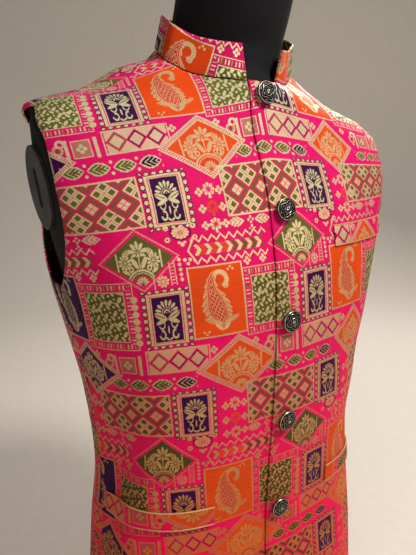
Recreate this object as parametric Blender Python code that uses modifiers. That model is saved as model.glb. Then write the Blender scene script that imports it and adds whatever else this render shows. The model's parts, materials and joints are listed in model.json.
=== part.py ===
"""A sleeveless nehru jacket, buttoned, on a plain dress form without limbs.

The figure faces -Y and the wearer's left side is +X. The form stands on its flat
underside, whose middle is the origin. Every cloth piece is a wall on one figure
surface: a stack of rounded sections read at a turn round the body and a height.
A turn of 0 is the centre front, 90 the wearer's left side and 180 the centre back.
All sizes are in metres and all turns are in degrees.
"""

import math

import bpy
import numpy as np
from mathutils import Matrix, Vector

# Heights of the garment and the form
HEM = 0.030
UNDERARM = 0.490
SHOULDER_TIP = 0.652
NECK_FRONT = 0.6840
NECK_TOP = 0.815
SHOULDER_SEAM_TURN = 84.0

# Rows of points of a panel: the last one, and those at which its side reaches the
# underarm and the shoulder tip
UNDERARM_ROW = 18
TIP_ROW = 27
NECK_ROW = 35

# Points across a front panel, half the back, the collar and a welt, and round a button
FRONT_COLUMNS = 15
HALF_BACK_COLUMNS = 13
COLLAR_COLUMNS = 37
WELT_COLUMNS = 11
BUTTON_STEPS = 18

# Cloth
WALL = 0.0018
SEAM_GAP = 0.0003
SHOULDER_GAP = 0.0006
BUTTON_GAP = 0.0005
LAP_GAP = 0.0008
LAP_EDGE = -0.0125
UNDERLAP_EDGE = 0.016
LAP_LEVEL = 0.0220
LAP_FADE = 0.0550

# Stand collar
COLLAR_HEIGHT = 0.0374
COLLAR_FRONT_LOWER = 0.15
COLLAR_WALL = 0.0026
COLLAR_GAP = 0.0009
COLLAR_LEFT_END = 19.0
COLLAR_RIGHT_END = -10.5
COLLAR_FORWARD = 0.20
COLLAR_INWARD = 0.10
COLLAR_SIDEWAYS = 0.086

# Buttons
BUTTON_COUNT = 5
BUTTON_TOP = 0.6725
BUTTON_SPACING = 0.112
BUTTON_RADIUS = 0.0115
BUTTON_ACROSS = 0.003

# Welts of the pockets: which side, the height of the top edge, how far from the
# centre front it starts, its length and its height
WELTS = {
    "welt_pocket_right": dict(side=-1, top=0.251, start=0.079, length=0.136, height=0.020),
    "welt_pocket_left": dict(side=1, top=0.245, start=0.079, length=0.132, height=0.020),
    "welt_chest_left": dict(side=1, top=0.537, start=0.070, length=0.098, height=0.020),
}
WELT_WALL = 0.0016
WELT_GAP = 0.0008

# Dress form
ARM_FACE = 0.2010
ARM_FACE_HEIGHT = 0.585
ARM_FACE_SLOPE = 0.12
ARM_PLATE_WALL = 0.003
PLATE_GAP = 0.0005
ARM_PLATE_HALF_DEPTH = 0.029
ARM_PLATE_HALF_HEIGHT = 0.041
ARM_PLATE_DEPTHWISE = -0.003
SLOT_HALF_WIDTH = 0.0045
SLOT_HALF_HEIGHT = 0.020
NECK_CAP_HEIGHT = 0.012
CAP_GAP = 0.0005

# The gap between the cloth's inner face and the form: least at the shoulders, where
# the cloth rests
FORM_CLEAR = np.array(
    [
        (0.000, 0.0100),
        (0.450, 0.0090),
        (0.560, 0.0090),
        (0.640, 0.0060),
        (0.655, 0.0038),
        (0.672, 0.0014),
        (0.690, 0.0013),
        (0.706, 0.0032),
        (0.800, 0.0032),
    ]
)

# How much more of it there is under the back
FORM_BACK_EASE = 0.0028

# How far the shoulders tip towards the wearer's left, metres for each metre across
SHOULDER_TIP_SLOPE = 0.077
LEAN_FROM = 0.54
LEAN_FULL = 0.652

# The figure that the cloth lies on, one row for each height. The back has its own
# half width where the armholes are, and the front hollows between neck and shoulder.
COLUMNS = (
    "height",
    "half_width",
    "back_half_width",
    "front",
    "back",
    "centre_y",
    "front_square",
    "back_square",
    "front_hollow",
)
FIGURE = np.array(
    [
        (0.000, 0.1780, 0.1780, 0.1070, 0.1190, 0.000, 2.8, 2.5, 0.00),
        (0.030, 0.1785, 0.1785, 0.1065, 0.1200, 0.000, 2.8, 2.5, 0.00),
        (0.100, 0.1775, 0.1775, 0.1035, 0.1220, 0.000, 2.8, 2.5, 0.00),
        (0.190, 0.1705, 0.1705, 0.1030, 0.1130, 0.000, 2.8, 2.5, 0.00),
        (0.280, 0.1600, 0.1600, 0.1105, 0.1010, 0.000, 2.8, 2.5, 0.00),
        (0.360, 0.1665, 0.1665, 0.1215, 0.1040, 0.002, 2.8, 2.5, 0.00),
        (0.440, 0.1815, 0.1815, 0.1285, 0.1110, 0.004, 2.9, 2.5, 0.00),
        (0.490, 0.1915, 0.1915, 0.1295, 0.1160, 0.005, 3.0, 2.5, 0.00),
        (0.560, 0.2185, 0.1980, 0.1222, 0.1190, 0.007, 2.8, 2.5, 0.00),
        (0.600, 0.2255, 0.1980, 0.1128, 0.1130, 0.009, 2.8, 2.4, 0.00),
        (0.632, 0.2235, 0.1995, 0.1010, 0.1040, 0.010, 2.7, 2.3, 0.00),
        (0.652, 0.2085, 0.2035, 0.0965, 0.0960, 0.010, 2.3, 2.1, 0.00),
        (0.674, 0.1465, 0.1450, 0.0915, 0.0880, 0.009, 2.0, 2.0, 0.03),
        (0.694, 0.1150, 0.1120, 0.0816, 0.0780, 0.006, 2.0, 2.0, 0.19),
        (0.708, 0.0775, 0.0775, 0.0740, 0.0690, -0.001, 2.0, 2.0, 0.02),
        (0.722, 0.0700, 0.0700, 0.0685, 0.0635, -0.008, 2.0, 2.0, 0.00),
        (0.745, 0.0670, 0.0670, 0.0670, 0.0640, -0.020, 2.0, 2.0, 0.00),
        (0.815, 0.0670, 0.0670, 0.0670, 0.0670, -0.040, 2.0, 2.0, 0.00),
    ]
)

# Soft troughs and ridges of the cloth: middle of each, its half width in degrees,
# its half length, its depth (a ridge is negative) and how many degrees it drifts
# for each metre of height
FOLDS = (
    dict(turn=-76, height=0.300, half_turn=8, half_length=0.075, depth=0.0075, drift=70),
    dict(turn=-92, height=0.285, half_turn=8, half_length=0.070, depth=-0.0040, drift=40),
    dict(turn=-58, height=0.345, half_turn=12, half_length=0.030, depth=0.0030, drift=150),
    dict(turn=80, height=0.310, half_turn=11, half_length=0.075, depth=0.0055, drift=-60),
    dict(turn=96, height=0.290, half_turn=8, half_length=0.060, depth=-0.0035, drift=-30),
    dict(turn=40, height=0.395, half_turn=16, half_length=0.022, depth=0.0022, drift=-200),
    dict(turn=-26, height=0.378, half_turn=14, half_length=0.016, depth=0.0018, drift=220),
    dict(turn=152, height=0.330, half_turn=11, half_length=0.070, depth=0.0055, drift=50),
    dict(turn=-150, height=0.310, half_turn=12, half_length=0.080, depth=0.0050, drift=-60),
    dict(turn=178, height=0.620, half_turn=20, half_length=0.020, depth=0.0025, drift=0),
    dict(turn=-44, height=0.590, half_turn=10, half_length=0.035, depth=0.0020, drift=260),
    dict(turn=50, height=0.585, half_turn=11, half_length=0.030, depth=0.0020, drift=-260),
)

# Height of the neckline for turns away from the centre front
NECKLINE = np.array(
    [
        (0, 0.6840),
        (25, 0.6850),
        (40, 0.6875),
        (50, 0.6908),
        (63, 0.6988),
        (84, 0.7095),
        (110, 0.7175),
        (140, 0.7200),
        (180, 0.7205),
    ]
)

# The armhole's edges seen from the side: y of the front and of the back edge for
# each height
ARMHOLE = np.array(
    [
        (0.4900, 0.0045, 0.0045),
        (0.4930, -0.0068, 0.0160),
        (0.5025, -0.0229, 0.0320),
        (0.5250, -0.0474, 0.0520),
        (0.5488, -0.0590, 0.0630),
        (0.5663, -0.0610, 0.0670),
        (0.5950, -0.0576, 0.0660),
        (0.6113, -0.0522, 0.0620),
        (0.6275, -0.0440, 0.0540),
        (0.6440, -0.0270, 0.0300),
        (0.6520, -0.0118, -0.0118),
    ]
)

CLOTH_COLOUR = (0.72, 0.03, 0.22)
WELT_COLOUR = (0.62, 0.05, 0.16)
FORM_COLOUR = (0.012, 0.012, 0.013)
METAL_COLOUR = (0.34, 0.33, 0.31)
PLATE_COLOUR = (0.16, 0.16, 0.17)


# Curves through tables


def monotone_curve(knots, values, at):
    """A smooth curve through the knots that never overshoots between two of them."""
    at = np.clip(np.asarray(at, float), knots[0], knots[-1])
    gaps = np.diff(knots)
    slopes = np.diff(values) / gaps
    tangents = np.zeros(len(knots))
    same_sign = slopes[:-1] * slopes[1:] > 0
    inner = 2 * slopes[:-1] * slopes[1:]
    total = np.where(same_sign, slopes[:-1] + slopes[1:], 1.0)
    tangents[1:-1] = np.where(same_sign, inner / total, 0.0)
    tangents[0] = slopes[0]
    tangents[-1] = slopes[-1]
    i = np.clip(np.searchsorted(knots, at, side="right") - 1, 0, len(knots) - 2)
    t = (at - knots[i]) / gaps[i]
    start = (1 + 2 * t) * (1 - t) ** 2 * values[i] + t * (1 - t) ** 2 * gaps[i] * tangents[i]
    end = t * t * (3 - 2 * t) * values[i + 1] + t * t * (t - 1) * gaps[i] * tangents[i + 1]
    return start + end


def smooth_step(low, high, at):
    t = np.clip((np.asarray(at, float) - low) / (high - low), 0.0, 1.0)
    return t * t * (3 - 2 * t)


# The figure surface


def fold_depth(turn, height):
    """How far the cloth dips at a place, all folds together."""
    depth = np.zeros(np.broadcast(turn, height).shape)
    for fold in FOLDS:
        middle = fold["turn"] + fold["drift"] * (height - fold["height"])
        across = (np.mod(turn - middle + 180.0, 360.0) - 180.0) / fold["half_turn"]
        along = (height - fold["height"]) / fold["half_length"]
        depth = depth + fold["depth"] * np.exp(-(across**2) - along**2)
    return depth


def lean(points):
    """Tips the shoulders and the neck towards the wearer's left."""
    share = smooth_step(LEAN_FROM, LEAN_FULL, points[..., 2])
    above = np.maximum(points[..., 2] - LEAN_FULL, 0.0)
    leaned = points.copy()
    leaned[..., 0] = points[..., 0] + SHOULDER_TIP_SLOPE * above
    leaned[..., 2] = points[..., 2] - SHOULDER_TIP_SLOPE * points[..., 0] * share
    return leaned


def figure_point(turn, height, folded=True):
    """The point of the figure at a turn and a height, before it is moved out."""
    turn, height = np.broadcast_arrays(np.asarray(turn, float), np.asarray(height, float))
    row = {
        name: monotone_curve(FIGURE[:, 0], FIGURE[:, k], height)
        for k, name in enumerate(COLUMNS)
    }
    sine = np.sin(np.radians(turn))
    cosine = np.cos(np.radians(turn))
    depth = np.where(cosine >= 0, row["front"], row["back"])
    share = smooth_step(-0.25, 0.25, -cosine)
    half_width = row["half_width"] + (row["back_half_width"] - row["half_width"]) * share
    square = row["front_square"] + (row["back_square"] - row["front_square"]) * share
    reach = (np.abs(sine) / half_width) ** square + (np.abs(cosine) / depth) ** square
    radius = reach ** (-1 / square)
    radius = radius * (1 - row["front_hollow"] * (1 - share) * np.sin(np.radians(2 * turn)) ** 2)
    if folded:
        radius = radius - fold_depth(turn, height)
    return np.stack([radius * sine, row["centre_y"] - radius * cosine, height], -1)


def surface_point(turn, height, out=0.0, folded=True):
    """A point of the surface, moved out along its normal and leaned."""
    turn, height = np.broadcast_arrays(np.asarray(turn, float), np.asarray(height, float))
    step_turn = 0.4
    step_height = 0.0008
    point = figure_point(turn, height, folded)
    left = figure_point(turn + step_turn, height, folded)
    right = figure_point(turn - step_turn, height, folded)
    upper = figure_point(turn, height + step_height, folded)
    lower = figure_point(turn, height - step_height, folded)
    normal = np.cross(left - right, upper - lower)
    normal = normal / np.linalg.norm(normal, axis=-1, keepdims=True)
    return lean(point + normal * np.asarray(out, float)[..., None])


def turn_at_x(x, height):
    """The turn at which the front of the figure is x from the middle."""
    front = monotone_curve(FIGURE[:, 0], FIGURE[:, COLUMNS.index("front")], height)
    return np.degrees(np.arctan2(x, front))


def turn_at_y(y, height, low, high):
    """The turn between low and high at which the section has this y, on the left side."""
    turns = np.linspace(low, high, 181)
    found = figure_point(turns, height)[:, 1]
    return float(np.interp(y, found, turns))


def neckline_height(turn):
    return monotone_curve(NECKLINE[:, 0], NECKLINE[:, 1], np.abs(turn))


# Outlines of the panels, as (turn, height) on the wearer's left side


def armhole_edge(height, back):
    y = float(monotone_curve(ARMHOLE[:, 0], ARMHOLE[:, 2 if back else 1], height))
    low, high = (80, 150) if back else (30, 100)
    return turn_at_y(y, height, low, high)


def seam_turn(height, back):
    """The turn of the shoulder seam's edge of the front or of the back panel."""
    half_width = float(monotone_curve(FIGURE[:, 0], FIGURE[:, 1], height))
    half_gap = math.degrees(SHOULDER_GAP / 2 / half_width)
    return SHOULDER_SEAM_TURN + (half_gap if back else -half_gap)


def between(low, high, row, low_row, high_row):
    return low + (high - low) * (row - low_row) / (high_row - low_row)


def side_end(row, back):
    """The outer end of a panel's row: up the side seam, round the armhole, where the
    rows lie closer at its bottom and top, and along the shoulder seam to the neck."""
    if row <= UNDERARM_ROW:
        return 90.0, between(HEM, UNDERARM, row, 0, UNDERARM_ROW)
    if row < TIP_ROW:
        angle = between(0.0, math.pi, row, UNDERARM_ROW, TIP_ROW)
        height = UNDERARM + (SHOULDER_TIP - UNDERARM) * (1 - math.cos(angle)) / 2
        return armhole_edge(height, back), height
    neck_side = float(neckline_height(SHOULDER_SEAM_TURN))
    height = between(SHOULDER_TIP, neck_side, row, TIP_ROW, NECK_ROW)
    return seam_turn(height, back), height


def middle_end(row, inner_turn, neck_turn):
    """The inner end of a panel's row, up its middle edge from the hem to the neck."""
    if row <= UNDERARM_ROW:
        height = between(HEM, UNDERARM, row, 0, UNDERARM_ROW)
    else:
        top = float(neckline_height(neck_turn))
        height = between(UNDERARM, top, row, UNDERARM_ROW, NECK_ROW)
    return inner_turn(height), height


def row_line(row, back, inner_turn, neck_turn, t):
    """Turns and heights along a row, t from 0 at its inner to 1 at its outer end. The
    rows bend more and more like the neckline, which is the last one."""
    inner = middle_end(row, inner_turn, neck_turn)
    outer = side_end(row, back)
    turns = inner[0] + (outer[0] - inner[0]) * t
    heights = inner[1] + (outer[1] - inner[1]) * t
    last_inner = middle_end(NECK_ROW, inner_turn, neck_turn)
    last_outer = side_end(NECK_ROW, back)
    last_turns = last_inner[0] + (last_outer[0] - last_inner[0]) * t
    last_heights = last_inner[1] + (last_outer[1] - last_inner[1]) * t
    share = max(0.0, between(0.0, 1.0, row, UNDERARM_ROW, NECK_ROW)) ** 2
    return turns, heights + share * (neckline_height(last_turns) - last_heights)


def panel_places(columns, side, back, inner_turn, neck_turn):
    """The turns and heights of a panel's points, row by row from the hem up and
    evenly spaced along each row. side is 1 for the wearer's left, -1 for the right."""
    turns = np.zeros((NECK_ROW + 1, columns))
    heights = np.zeros((NECK_ROW + 1, columns))
    t = np.linspace(0.0, 1.0, 200)
    for row in range(NECK_ROW + 1):
        line_turns, line_heights = row_line(row, back, inner_turn, neck_turn, t)
        fine = figure_point(side * line_turns, line_heights)
        length = np.concatenate([[0.0], np.cumsum(np.linalg.norm(np.diff(fine, axis=0), axis=1))])
        last = length[-1] - (SEAM_GAP / 2 if row <= UNDERARM_ROW else 0.0)
        wanted = np.linspace(0.0, last, columns)
        turns[row] = side * np.interp(wanted, length, line_turns)
        heights[row] = np.interp(wanted, length, line_heights)
    return turns, heights


# Blender objects


def material(name, colour, roughness, metallic=0.0):
    made = bpy.data.materials.new(name)
    made.use_nodes = True
    shader = made.node_tree.nodes["Principled BSDF"]
    shader.inputs["Base Color"].default_value = (*colour, 1.0)
    shader.inputs["Roughness"].default_value = roughness
    shader.inputs["Metallic"].default_value = metallic
    return made


def mesh_object(name, points, faces, finish):
    mesh = bpy.data.meshes.new(name)
    mesh.from_pydata([tuple(p) for p in points], [], faces)
    mesh.validate()
    mesh.update()
    made = bpy.data.objects.new(name, mesh)
    made.data.materials.append(finish)
    PARTS.objects.link(made)
    return made


def grid_faces(rows, columns, flip, closed=False):
    """Quads between neighbouring points of a grid, closed round its columns if asked."""
    faces = []
    for i in range(rows - 1):
        for j in range(columns if closed else columns - 1):
            k = (j + 1) % columns
            quad = [i * columns + j, i * columns + k, (i + 1) * columns + k, (i + 1) * columns + j]
            faces.append(quad[::-1] if flip else quad)
    return faces


def cloth_wall(name, turns, heights, out, thickness, finish):
    """A closed wall between an outer and an inner sheet of the figure surface. out is
    how far the outer sheet lies off the surface."""
    rows, columns = turns.shape
    outer = surface_point(turns, heights, out).reshape(-1, 3)
    inner = surface_point(turns, heights, out - thickness).reshape(-1, 3)
    rightwards = turns[0, 1] < turns[0, 0]
    outer_faces = grid_faces(rows, columns, rightwards)
    inner_faces = [[k + len(outer) for k in face][::-1] for face in outer_faces]
    rim = list(range(columns))
    rim += [i * columns + columns - 1 for i in range(1, rows)]
    rim += [(rows - 1) * columns + j for j in range(columns - 2, -1, -1)]
    rim += [i * columns for i in range(rows - 2, 0, -1)]
    edge_faces = []
    for a, b in zip(rim, rim[1:] + rim[:1]):
        face = [b, a, a + len(outer), b + len(outer)]
        edge_faces.append(face[::-1] if rightwards else face)
    faces = outer_faces + inner_faces + edge_faces
    made = mesh_object(name, np.concatenate([outer, inner]), faces, finish)
    made.data.shade_smooth()
    made.data.set_sharp_from_angle(angle=math.radians(50))
    return made


# The jacket


def lap_rise(turns, heights):
    """The left front lies on the right one near the centre front."""
    x = figure_point(turns, heights)[..., 0]
    return (WALL + LAP_GAP) * (1 - smooth_step(LAP_LEVEL, LAP_FADE, x))


def make_fronts(finish):
    def lap_turn(height):
        return float(turn_at_x(LAP_EDGE, height))

    def underlap_turn(height):
        return -float(turn_at_x(UNDERLAP_EDGE, height))

    turns, heights = panel_places(FRONT_COLUMNS, 1, False, lap_turn, lap_turn(NECK_FRONT))
    cloth_wall("front_left", turns, heights, lap_rise(turns, heights), WALL, finish)
    neck_turn = underlap_turn(NECK_FRONT)
    turns, heights = panel_places(FRONT_COLUMNS, -1, False, underlap_turn, neck_turn)
    cloth_wall("front_right", turns, heights, np.zeros_like(turns), WALL, finish)


def make_back(finish):
    """One piece from side seam to side seam, the same on both sides."""

    def middle_turn(_height):
        return 180.0

    turns, heights = panel_places(HALF_BACK_COLUMNS, 1, True, middle_turn, 180.0)
    all_turns = np.concatenate([turns[:, :0:-1], 360.0 - turns], axis=1)
    all_heights = np.concatenate([heights[:, :0:-1], heights], axis=1)
    cloth_wall("back", all_turns, all_heights, np.zeros_like(all_turns), WALL, finish)


def collar_point(turn, share, out):
    """A point of the collar's outer face: turn round the neck, share of its height.
    The band is lower at the front than at the back."""
    base = surface_point(turn, neckline_height(turn))
    outward = np.stack([np.sin(np.radians(turn)), -np.cos(np.radians(turn)), np.zeros_like(turn)], -1)
    up = np.array([COLLAR_SIDEWAYS, -COLLAR_FORWARD, 1.0]) - COLLAR_INWARD * outward
    up = up / np.linalg.norm(up, axis=-1, keepdims=True)
    rise = share * COLLAR_HEIGHT * (1 - COLLAR_FRONT_LOWER * np.cos(np.radians(turn)))
    return base + up * (COLLAR_GAP + rise)[..., None] + outward * out


def make_collar(finish):
    """A standing band round the neck with a plain gap at the centre front."""
    turns = np.linspace(COLLAR_LEFT_END, 360 + COLLAR_RIGHT_END, COLLAR_COLUMNS)
    signed = np.where(turns > 180, turns - 360, turns)
    shares = np.linspace(0.0, 1.0, 3)
    outer = [collar_point(signed, share, 0.0) for share in shares]
    inner = [collar_point(signed, share, -COLLAR_WALL) for share in shares[::-1]]
    ring = np.stack(outer + inner, axis=1)
    columns, around = ring.shape[:2]
    faces = grid_faces(columns, around, True, closed=True)
    faces.append(list(range(around)))
    faces.append(list(range((columns - 1) * around, columns * around))[::-1])
    made = mesh_object("collar", ring.reshape(-1, 3), faces, finish)
    made.data.shade_smooth()
    made.data.set_sharp_from_angle(angle=math.radians(50))


def make_welt(name, finish, side, top, start, length, height):
    """A strip on a front panel, made from the panel's points moved out."""
    shares = (0.0, 0.5, 1.0)
    turns = np.zeros((len(shares), WELT_COLUMNS))
    heights = np.zeros((len(shares), WELT_COLUMNS))
    fine_turns = side * np.linspace(0.0, 120.0, 240)
    wanted = np.linspace(start, start + length, WELT_COLUMNS)
    for i, share in enumerate(shares):
        heights[i] = top - height * (1 - share)
        fine = figure_point(fine_turns, heights[i, 0])
        arc = np.concatenate([[0.0], np.cumsum(np.linalg.norm(np.diff(fine, axis=0), axis=1))])
        turns[i] = np.interp(wanted, arc, fine_turns)
    lift = lap_rise(turns, heights) if side > 0 else 0.0
    cloth_wall(name, turns, heights, lift + WELT_GAP + WELT_WALL, WELT_WALL, finish)


def make_welts(finish):
    for name, sizes in WELTS.items():
        make_welt(name, finish, **sizes)


def button_profile():
    """Half of a domed metal button with a rim and a short shank, from its axis at the
    back to its axis at the front."""
    r = BUTTON_RADIUS
    return [
        (0.0, 0.0),
        (0.30 * r, 0.0),
        (0.30 * r, 0.0022),
        (0.90 * r, 0.0024),
        (1.00 * r, 0.0036),
        (0.93 * r, 0.0050),
        (0.60 * r, 0.0067),
        (0.0, 0.0076),
    ]


def make_buttons(finish):
    """Five buttons on the left front, each square to the cloth under it."""
    for index in range(BUTTON_COUNT):
        height = BUTTON_TOP - BUTTON_SPACING * index
        turn = turn_at_x(BUTTON_ACROSS, height)
        lift = WALL + LAP_GAP + BUTTON_GAP
        seat = surface_point(turn, height, lift)
        face = surface_point(turn, height, lift + 0.01)
        name = f"button_{index + 1}"
        profile = button_profile()
        mesh = bpy.data.meshes.new(name)
        edges = [(i, i + 1) for i in range(len(profile) - 1)]
        mesh.from_pydata([(x, 0.0, z) for x, z in profile], edges, [])
        made = bpy.data.objects.new(name, mesh)
        made.data.materials.append(finish)
        PARTS.objects.link(made)
        screw = made.modifiers.new("turned", "SCREW")
        screw.axis = "Z"
        screw.steps = BUTTON_STEPS
        screw.render_steps = BUTTON_STEPS
        screw.use_merge_vertices = True
        screw.merge_threshold = 0.00001
        screw.use_normal_calculate = True
        made.location = Vector(seat)
        made.rotation_mode = "QUATERNION"
        made.rotation_quaternion = Vector(face - seat).to_track_quat("Z", "Y")


# The dress form


def face_middle(side):
    """Height of the middle of an arm cut on a figure whose shoulders tip."""
    share = float(smooth_step(LEAN_FROM, LEAN_FULL, ARM_FACE_HEIGHT))
    return ARM_FACE_HEIGHT - SHOULDER_TIP_SLOPE * side * ARM_FACE * share


def arm_face(side, z):
    """How far out the flat arm cut is at a height: its top stands out further."""
    return ARM_FACE + ARM_FACE_SLOPE * (z - face_middle(side))


def form_point(turn, height):
    """A point of the form, under the cloth by the wall and the clearance, which is
    larger under the back."""
    clear = monotone_curve(FORM_CLEAR[:, 0], FORM_CLEAR[:, 1], height)
    clear = clear + FORM_BACK_EASE * smooth_step(-0.1, 0.3, -np.cos(np.radians(turn)))
    return surface_point(turn, height, -(WALL + clear), folded=False)


def make_torso(finish):
    """The body and neck of the form in one loft, cut flat where its arms would fit.
    Its points lie closer together round the arm cuts."""
    heights = np.concatenate(
        [
            np.linspace(0.0, 0.50, 9),
            np.linspace(0.53, 0.64, 5),
            np.linspace(0.652, 0.688, 6),
            np.linspace(0.694, 0.727, 8),
            np.linspace(0.745, NECK_TOP, 3),
        ]
    )
    half = sorted(set(range(0, 181, 9)) | set(range(81, 110, 6)))
    signed = np.array(half + [-turn for turn in half[-2:0:-1]], float)
    rings = []
    for height in heights:
        ring = form_point(signed, height)
        if height == 0.0:
            ring[:, 2] = 0.0
        if height < SHOULDER_TIP:
            ring[:, 0] = np.maximum(ring[:, 0], -arm_face(-1, ring[:, 2]))
            ring[:, 0] = np.minimum(ring[:, 0], arm_face(1, ring[:, 2]))
        rings.append(ring)
    grid = np.stack(rings)
    rows, columns = grid.shape[:2]
    faces = grid_faces(rows, columns, False, closed=True)
    faces.append(list(range(columns))[::-1])
    faces.append(list(range((rows - 1) * columns, rows * columns)))
    made = mesh_object("form_torso", grid.reshape(-1, 3), faces, finish)
    made.data.shade_smooth()
    made.data.set_sharp_from_angle(angle=math.radians(40))


def make_neck_cap(finish):
    """A low rounded cap on the cut neck, square to the neck."""
    rim = form_point(np.array([0.0, 90.0, 180.0, -90.0]), NECK_TOP)
    across = Vector(rim[1] - rim[3]).normalized()
    backwards = Vector(rim[2] - rim[0])
    up = across.cross(backwards).normalized()
    radius = (Vector(rim[1]) - Vector(rim[3])).length / 2
    bpy.ops.mesh.primitive_cylinder_add(vertices=36, radius=radius, depth=NECK_CAP_HEIGHT)
    made = bpy.context.object
    made.name = "form_neck_cap"
    made.data.name = made.name
    for collection in list(made.users_collection):
        collection.objects.unlink(made)
    PARTS.objects.link(made)
    made.data.materials.append(finish)
    turned = Matrix((across, up.cross(across), up)).transposed().to_4x4()
    middle = Vector(rim.mean(axis=0)) + up * (NECK_CAP_HEIGHT / 2 + CAP_GAP)
    made.matrix_world = Matrix.Translation(middle) @ turned
    bevel = made.modifiers.new("rounded rim", "BEVEL")
    bevel.width = 0.005
    bevel.segments = 2
    bevel.limit_method = "ANGLE"


def oval(half_depth, half_height, count):
    angles = np.linspace(0.0, 2 * math.pi, count, endpoint=False)
    return [(half_depth * math.cos(a), half_height * math.sin(a)) for a in angles]


def rounded_slot(half_width, half_height, count):
    """A slot with round ends, its long way upright."""
    points = []
    straight = half_height - half_width
    for i in range(count):
        angle = math.pi * i / (count - 1)
        points.append((half_width * math.cos(angle), straight + half_width * math.sin(angle)))
    for i in range(count):
        angle = math.pi + math.pi * i / (count - 1)
        points.append((half_width * math.cos(angle), -straight + half_width * math.sin(angle)))
    return points


def make_arm_plates(finish):
    """The oval metal plates that close the arm cuts, each with an upright slot."""
    for side, name in ((-1, "arm_plate_right"), (1, "arm_plate_left")):
        middle = (side * ARM_FACE, ARM_PLATE_DEPTHWISE, face_middle(side))
        curve = bpy.data.curves.new(name, "CURVE")
        curve.dimensions = "2D"
        curve.fill_mode = "BOTH"
        curve.extrude = ARM_PLATE_WALL / 2
        outlines = (
            oval(ARM_PLATE_HALF_DEPTH, ARM_PLATE_HALF_HEIGHT, 36),
            rounded_slot(SLOT_HALF_WIDTH, SLOT_HALF_HEIGHT, 6),
        )
        for outline in outlines:
            spline = curve.splines.new("POLY")
            spline.points.add(len(outline) - 1)
            for point, (a, b) in zip(spline.points, outline):
                point.co = (a, b, 0.0, 1.0)
            spline.use_cyclic_u = True
        made = bpy.data.objects.new(name, curve)
        made.data.materials.append(finish)
        PARTS.objects.link(made)
        up = Vector((side * ARM_FACE_SLOPE, 0.0, 1.0)).normalized()
        depthwise = Vector((0.0, 1.0, 0.0))
        outward = depthwise.cross(up)
        middle = Vector(middle) + outward * side * (ARM_PLATE_WALL / 2 + PLATE_GAP)
        turned = Matrix((depthwise, up, outward)).transposed().to_4x4()
        made.matrix_world = Matrix.Translation(middle) @ turned


# The whole part


def clear_scene():
    for old in list(bpy.data.objects):
        bpy.data.objects.remove(old, do_unlink=True)


def main():
    cloth = material("brocade", CLOTH_COLOUR, 0.55)
    welt = material("brocade_welt", WELT_COLOUR, 0.55)
    form = material("form_cover", FORM_COLOUR, 0.7)
    metal = material("button_metal", METAL_COLOUR, 0.35, 1.0)
    plate = material("plate_metal", PLATE_COLOUR, 0.4, 1.0)
    make_fronts(cloth)
    make_back(cloth)
    make_collar(cloth)
    make_welts(welt)
    make_buttons(metal)
    make_torso(form)
    make_neck_cap(form)
    make_arm_plates(plate)


clear_scene()
PARTS = bpy.data.collections.new("nehru_jacket")
bpy.context.scene.collection.children.link(PARTS)
main()
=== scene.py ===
# %% [markdown]
# This lesson dresses a finished CAD model of a sleeveless nehru jacket on a plain
# dress form. The CAD walls give every piece its place and size. The cells below
# rebuild the cloth as fine shells on the same figure surface, weave a brocade with
# shader nodes, carve the metal buttons and set up a quiet studio.

# %% Load the frame
import json
import math

import bpy
import numpy as np
from mathutils import Matrix, Vector

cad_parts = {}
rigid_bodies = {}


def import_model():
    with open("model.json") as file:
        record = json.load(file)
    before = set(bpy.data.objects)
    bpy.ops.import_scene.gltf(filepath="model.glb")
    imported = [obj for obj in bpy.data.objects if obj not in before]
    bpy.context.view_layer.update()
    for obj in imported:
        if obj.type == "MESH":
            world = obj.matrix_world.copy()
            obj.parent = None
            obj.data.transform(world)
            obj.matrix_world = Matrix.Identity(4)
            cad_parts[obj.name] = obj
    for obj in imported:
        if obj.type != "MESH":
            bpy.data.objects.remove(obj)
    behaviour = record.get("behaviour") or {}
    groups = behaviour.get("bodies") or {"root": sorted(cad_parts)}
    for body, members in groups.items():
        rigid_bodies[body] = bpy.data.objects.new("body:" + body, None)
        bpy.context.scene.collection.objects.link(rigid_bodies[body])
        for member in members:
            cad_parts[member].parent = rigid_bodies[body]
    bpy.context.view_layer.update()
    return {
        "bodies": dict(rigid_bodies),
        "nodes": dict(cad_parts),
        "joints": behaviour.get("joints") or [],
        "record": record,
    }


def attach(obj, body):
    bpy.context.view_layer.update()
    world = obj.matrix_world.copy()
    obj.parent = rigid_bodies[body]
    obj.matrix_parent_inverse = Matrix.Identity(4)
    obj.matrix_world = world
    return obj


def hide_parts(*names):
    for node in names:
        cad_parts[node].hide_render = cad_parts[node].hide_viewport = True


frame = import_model()
NODES = frame["nodes"]
print("CAD nodes:", len(NODES))

# %% [markdown]
# The camera comes first, so that each later piece can be looked at through it. Its
# place was worked out from the outline of the shoulders, the neck and the waist. A
# camera matrix is easiest to read as three directions: to the right, up and back.

# %% Camera
CAMERA_PLACE = Vector((-0.37796, -0.58603, 0.64049))
CAMERA_YAW = math.radians(31.82)
CAMERA_PITCH = math.radians(13.73)
CAMERA_ROLL = math.radians(-1.79)
FOCAL_PIXELS = 608.01
FRAME_HEIGHT = 555
SENSOR_HEIGHT = 24.0


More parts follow.
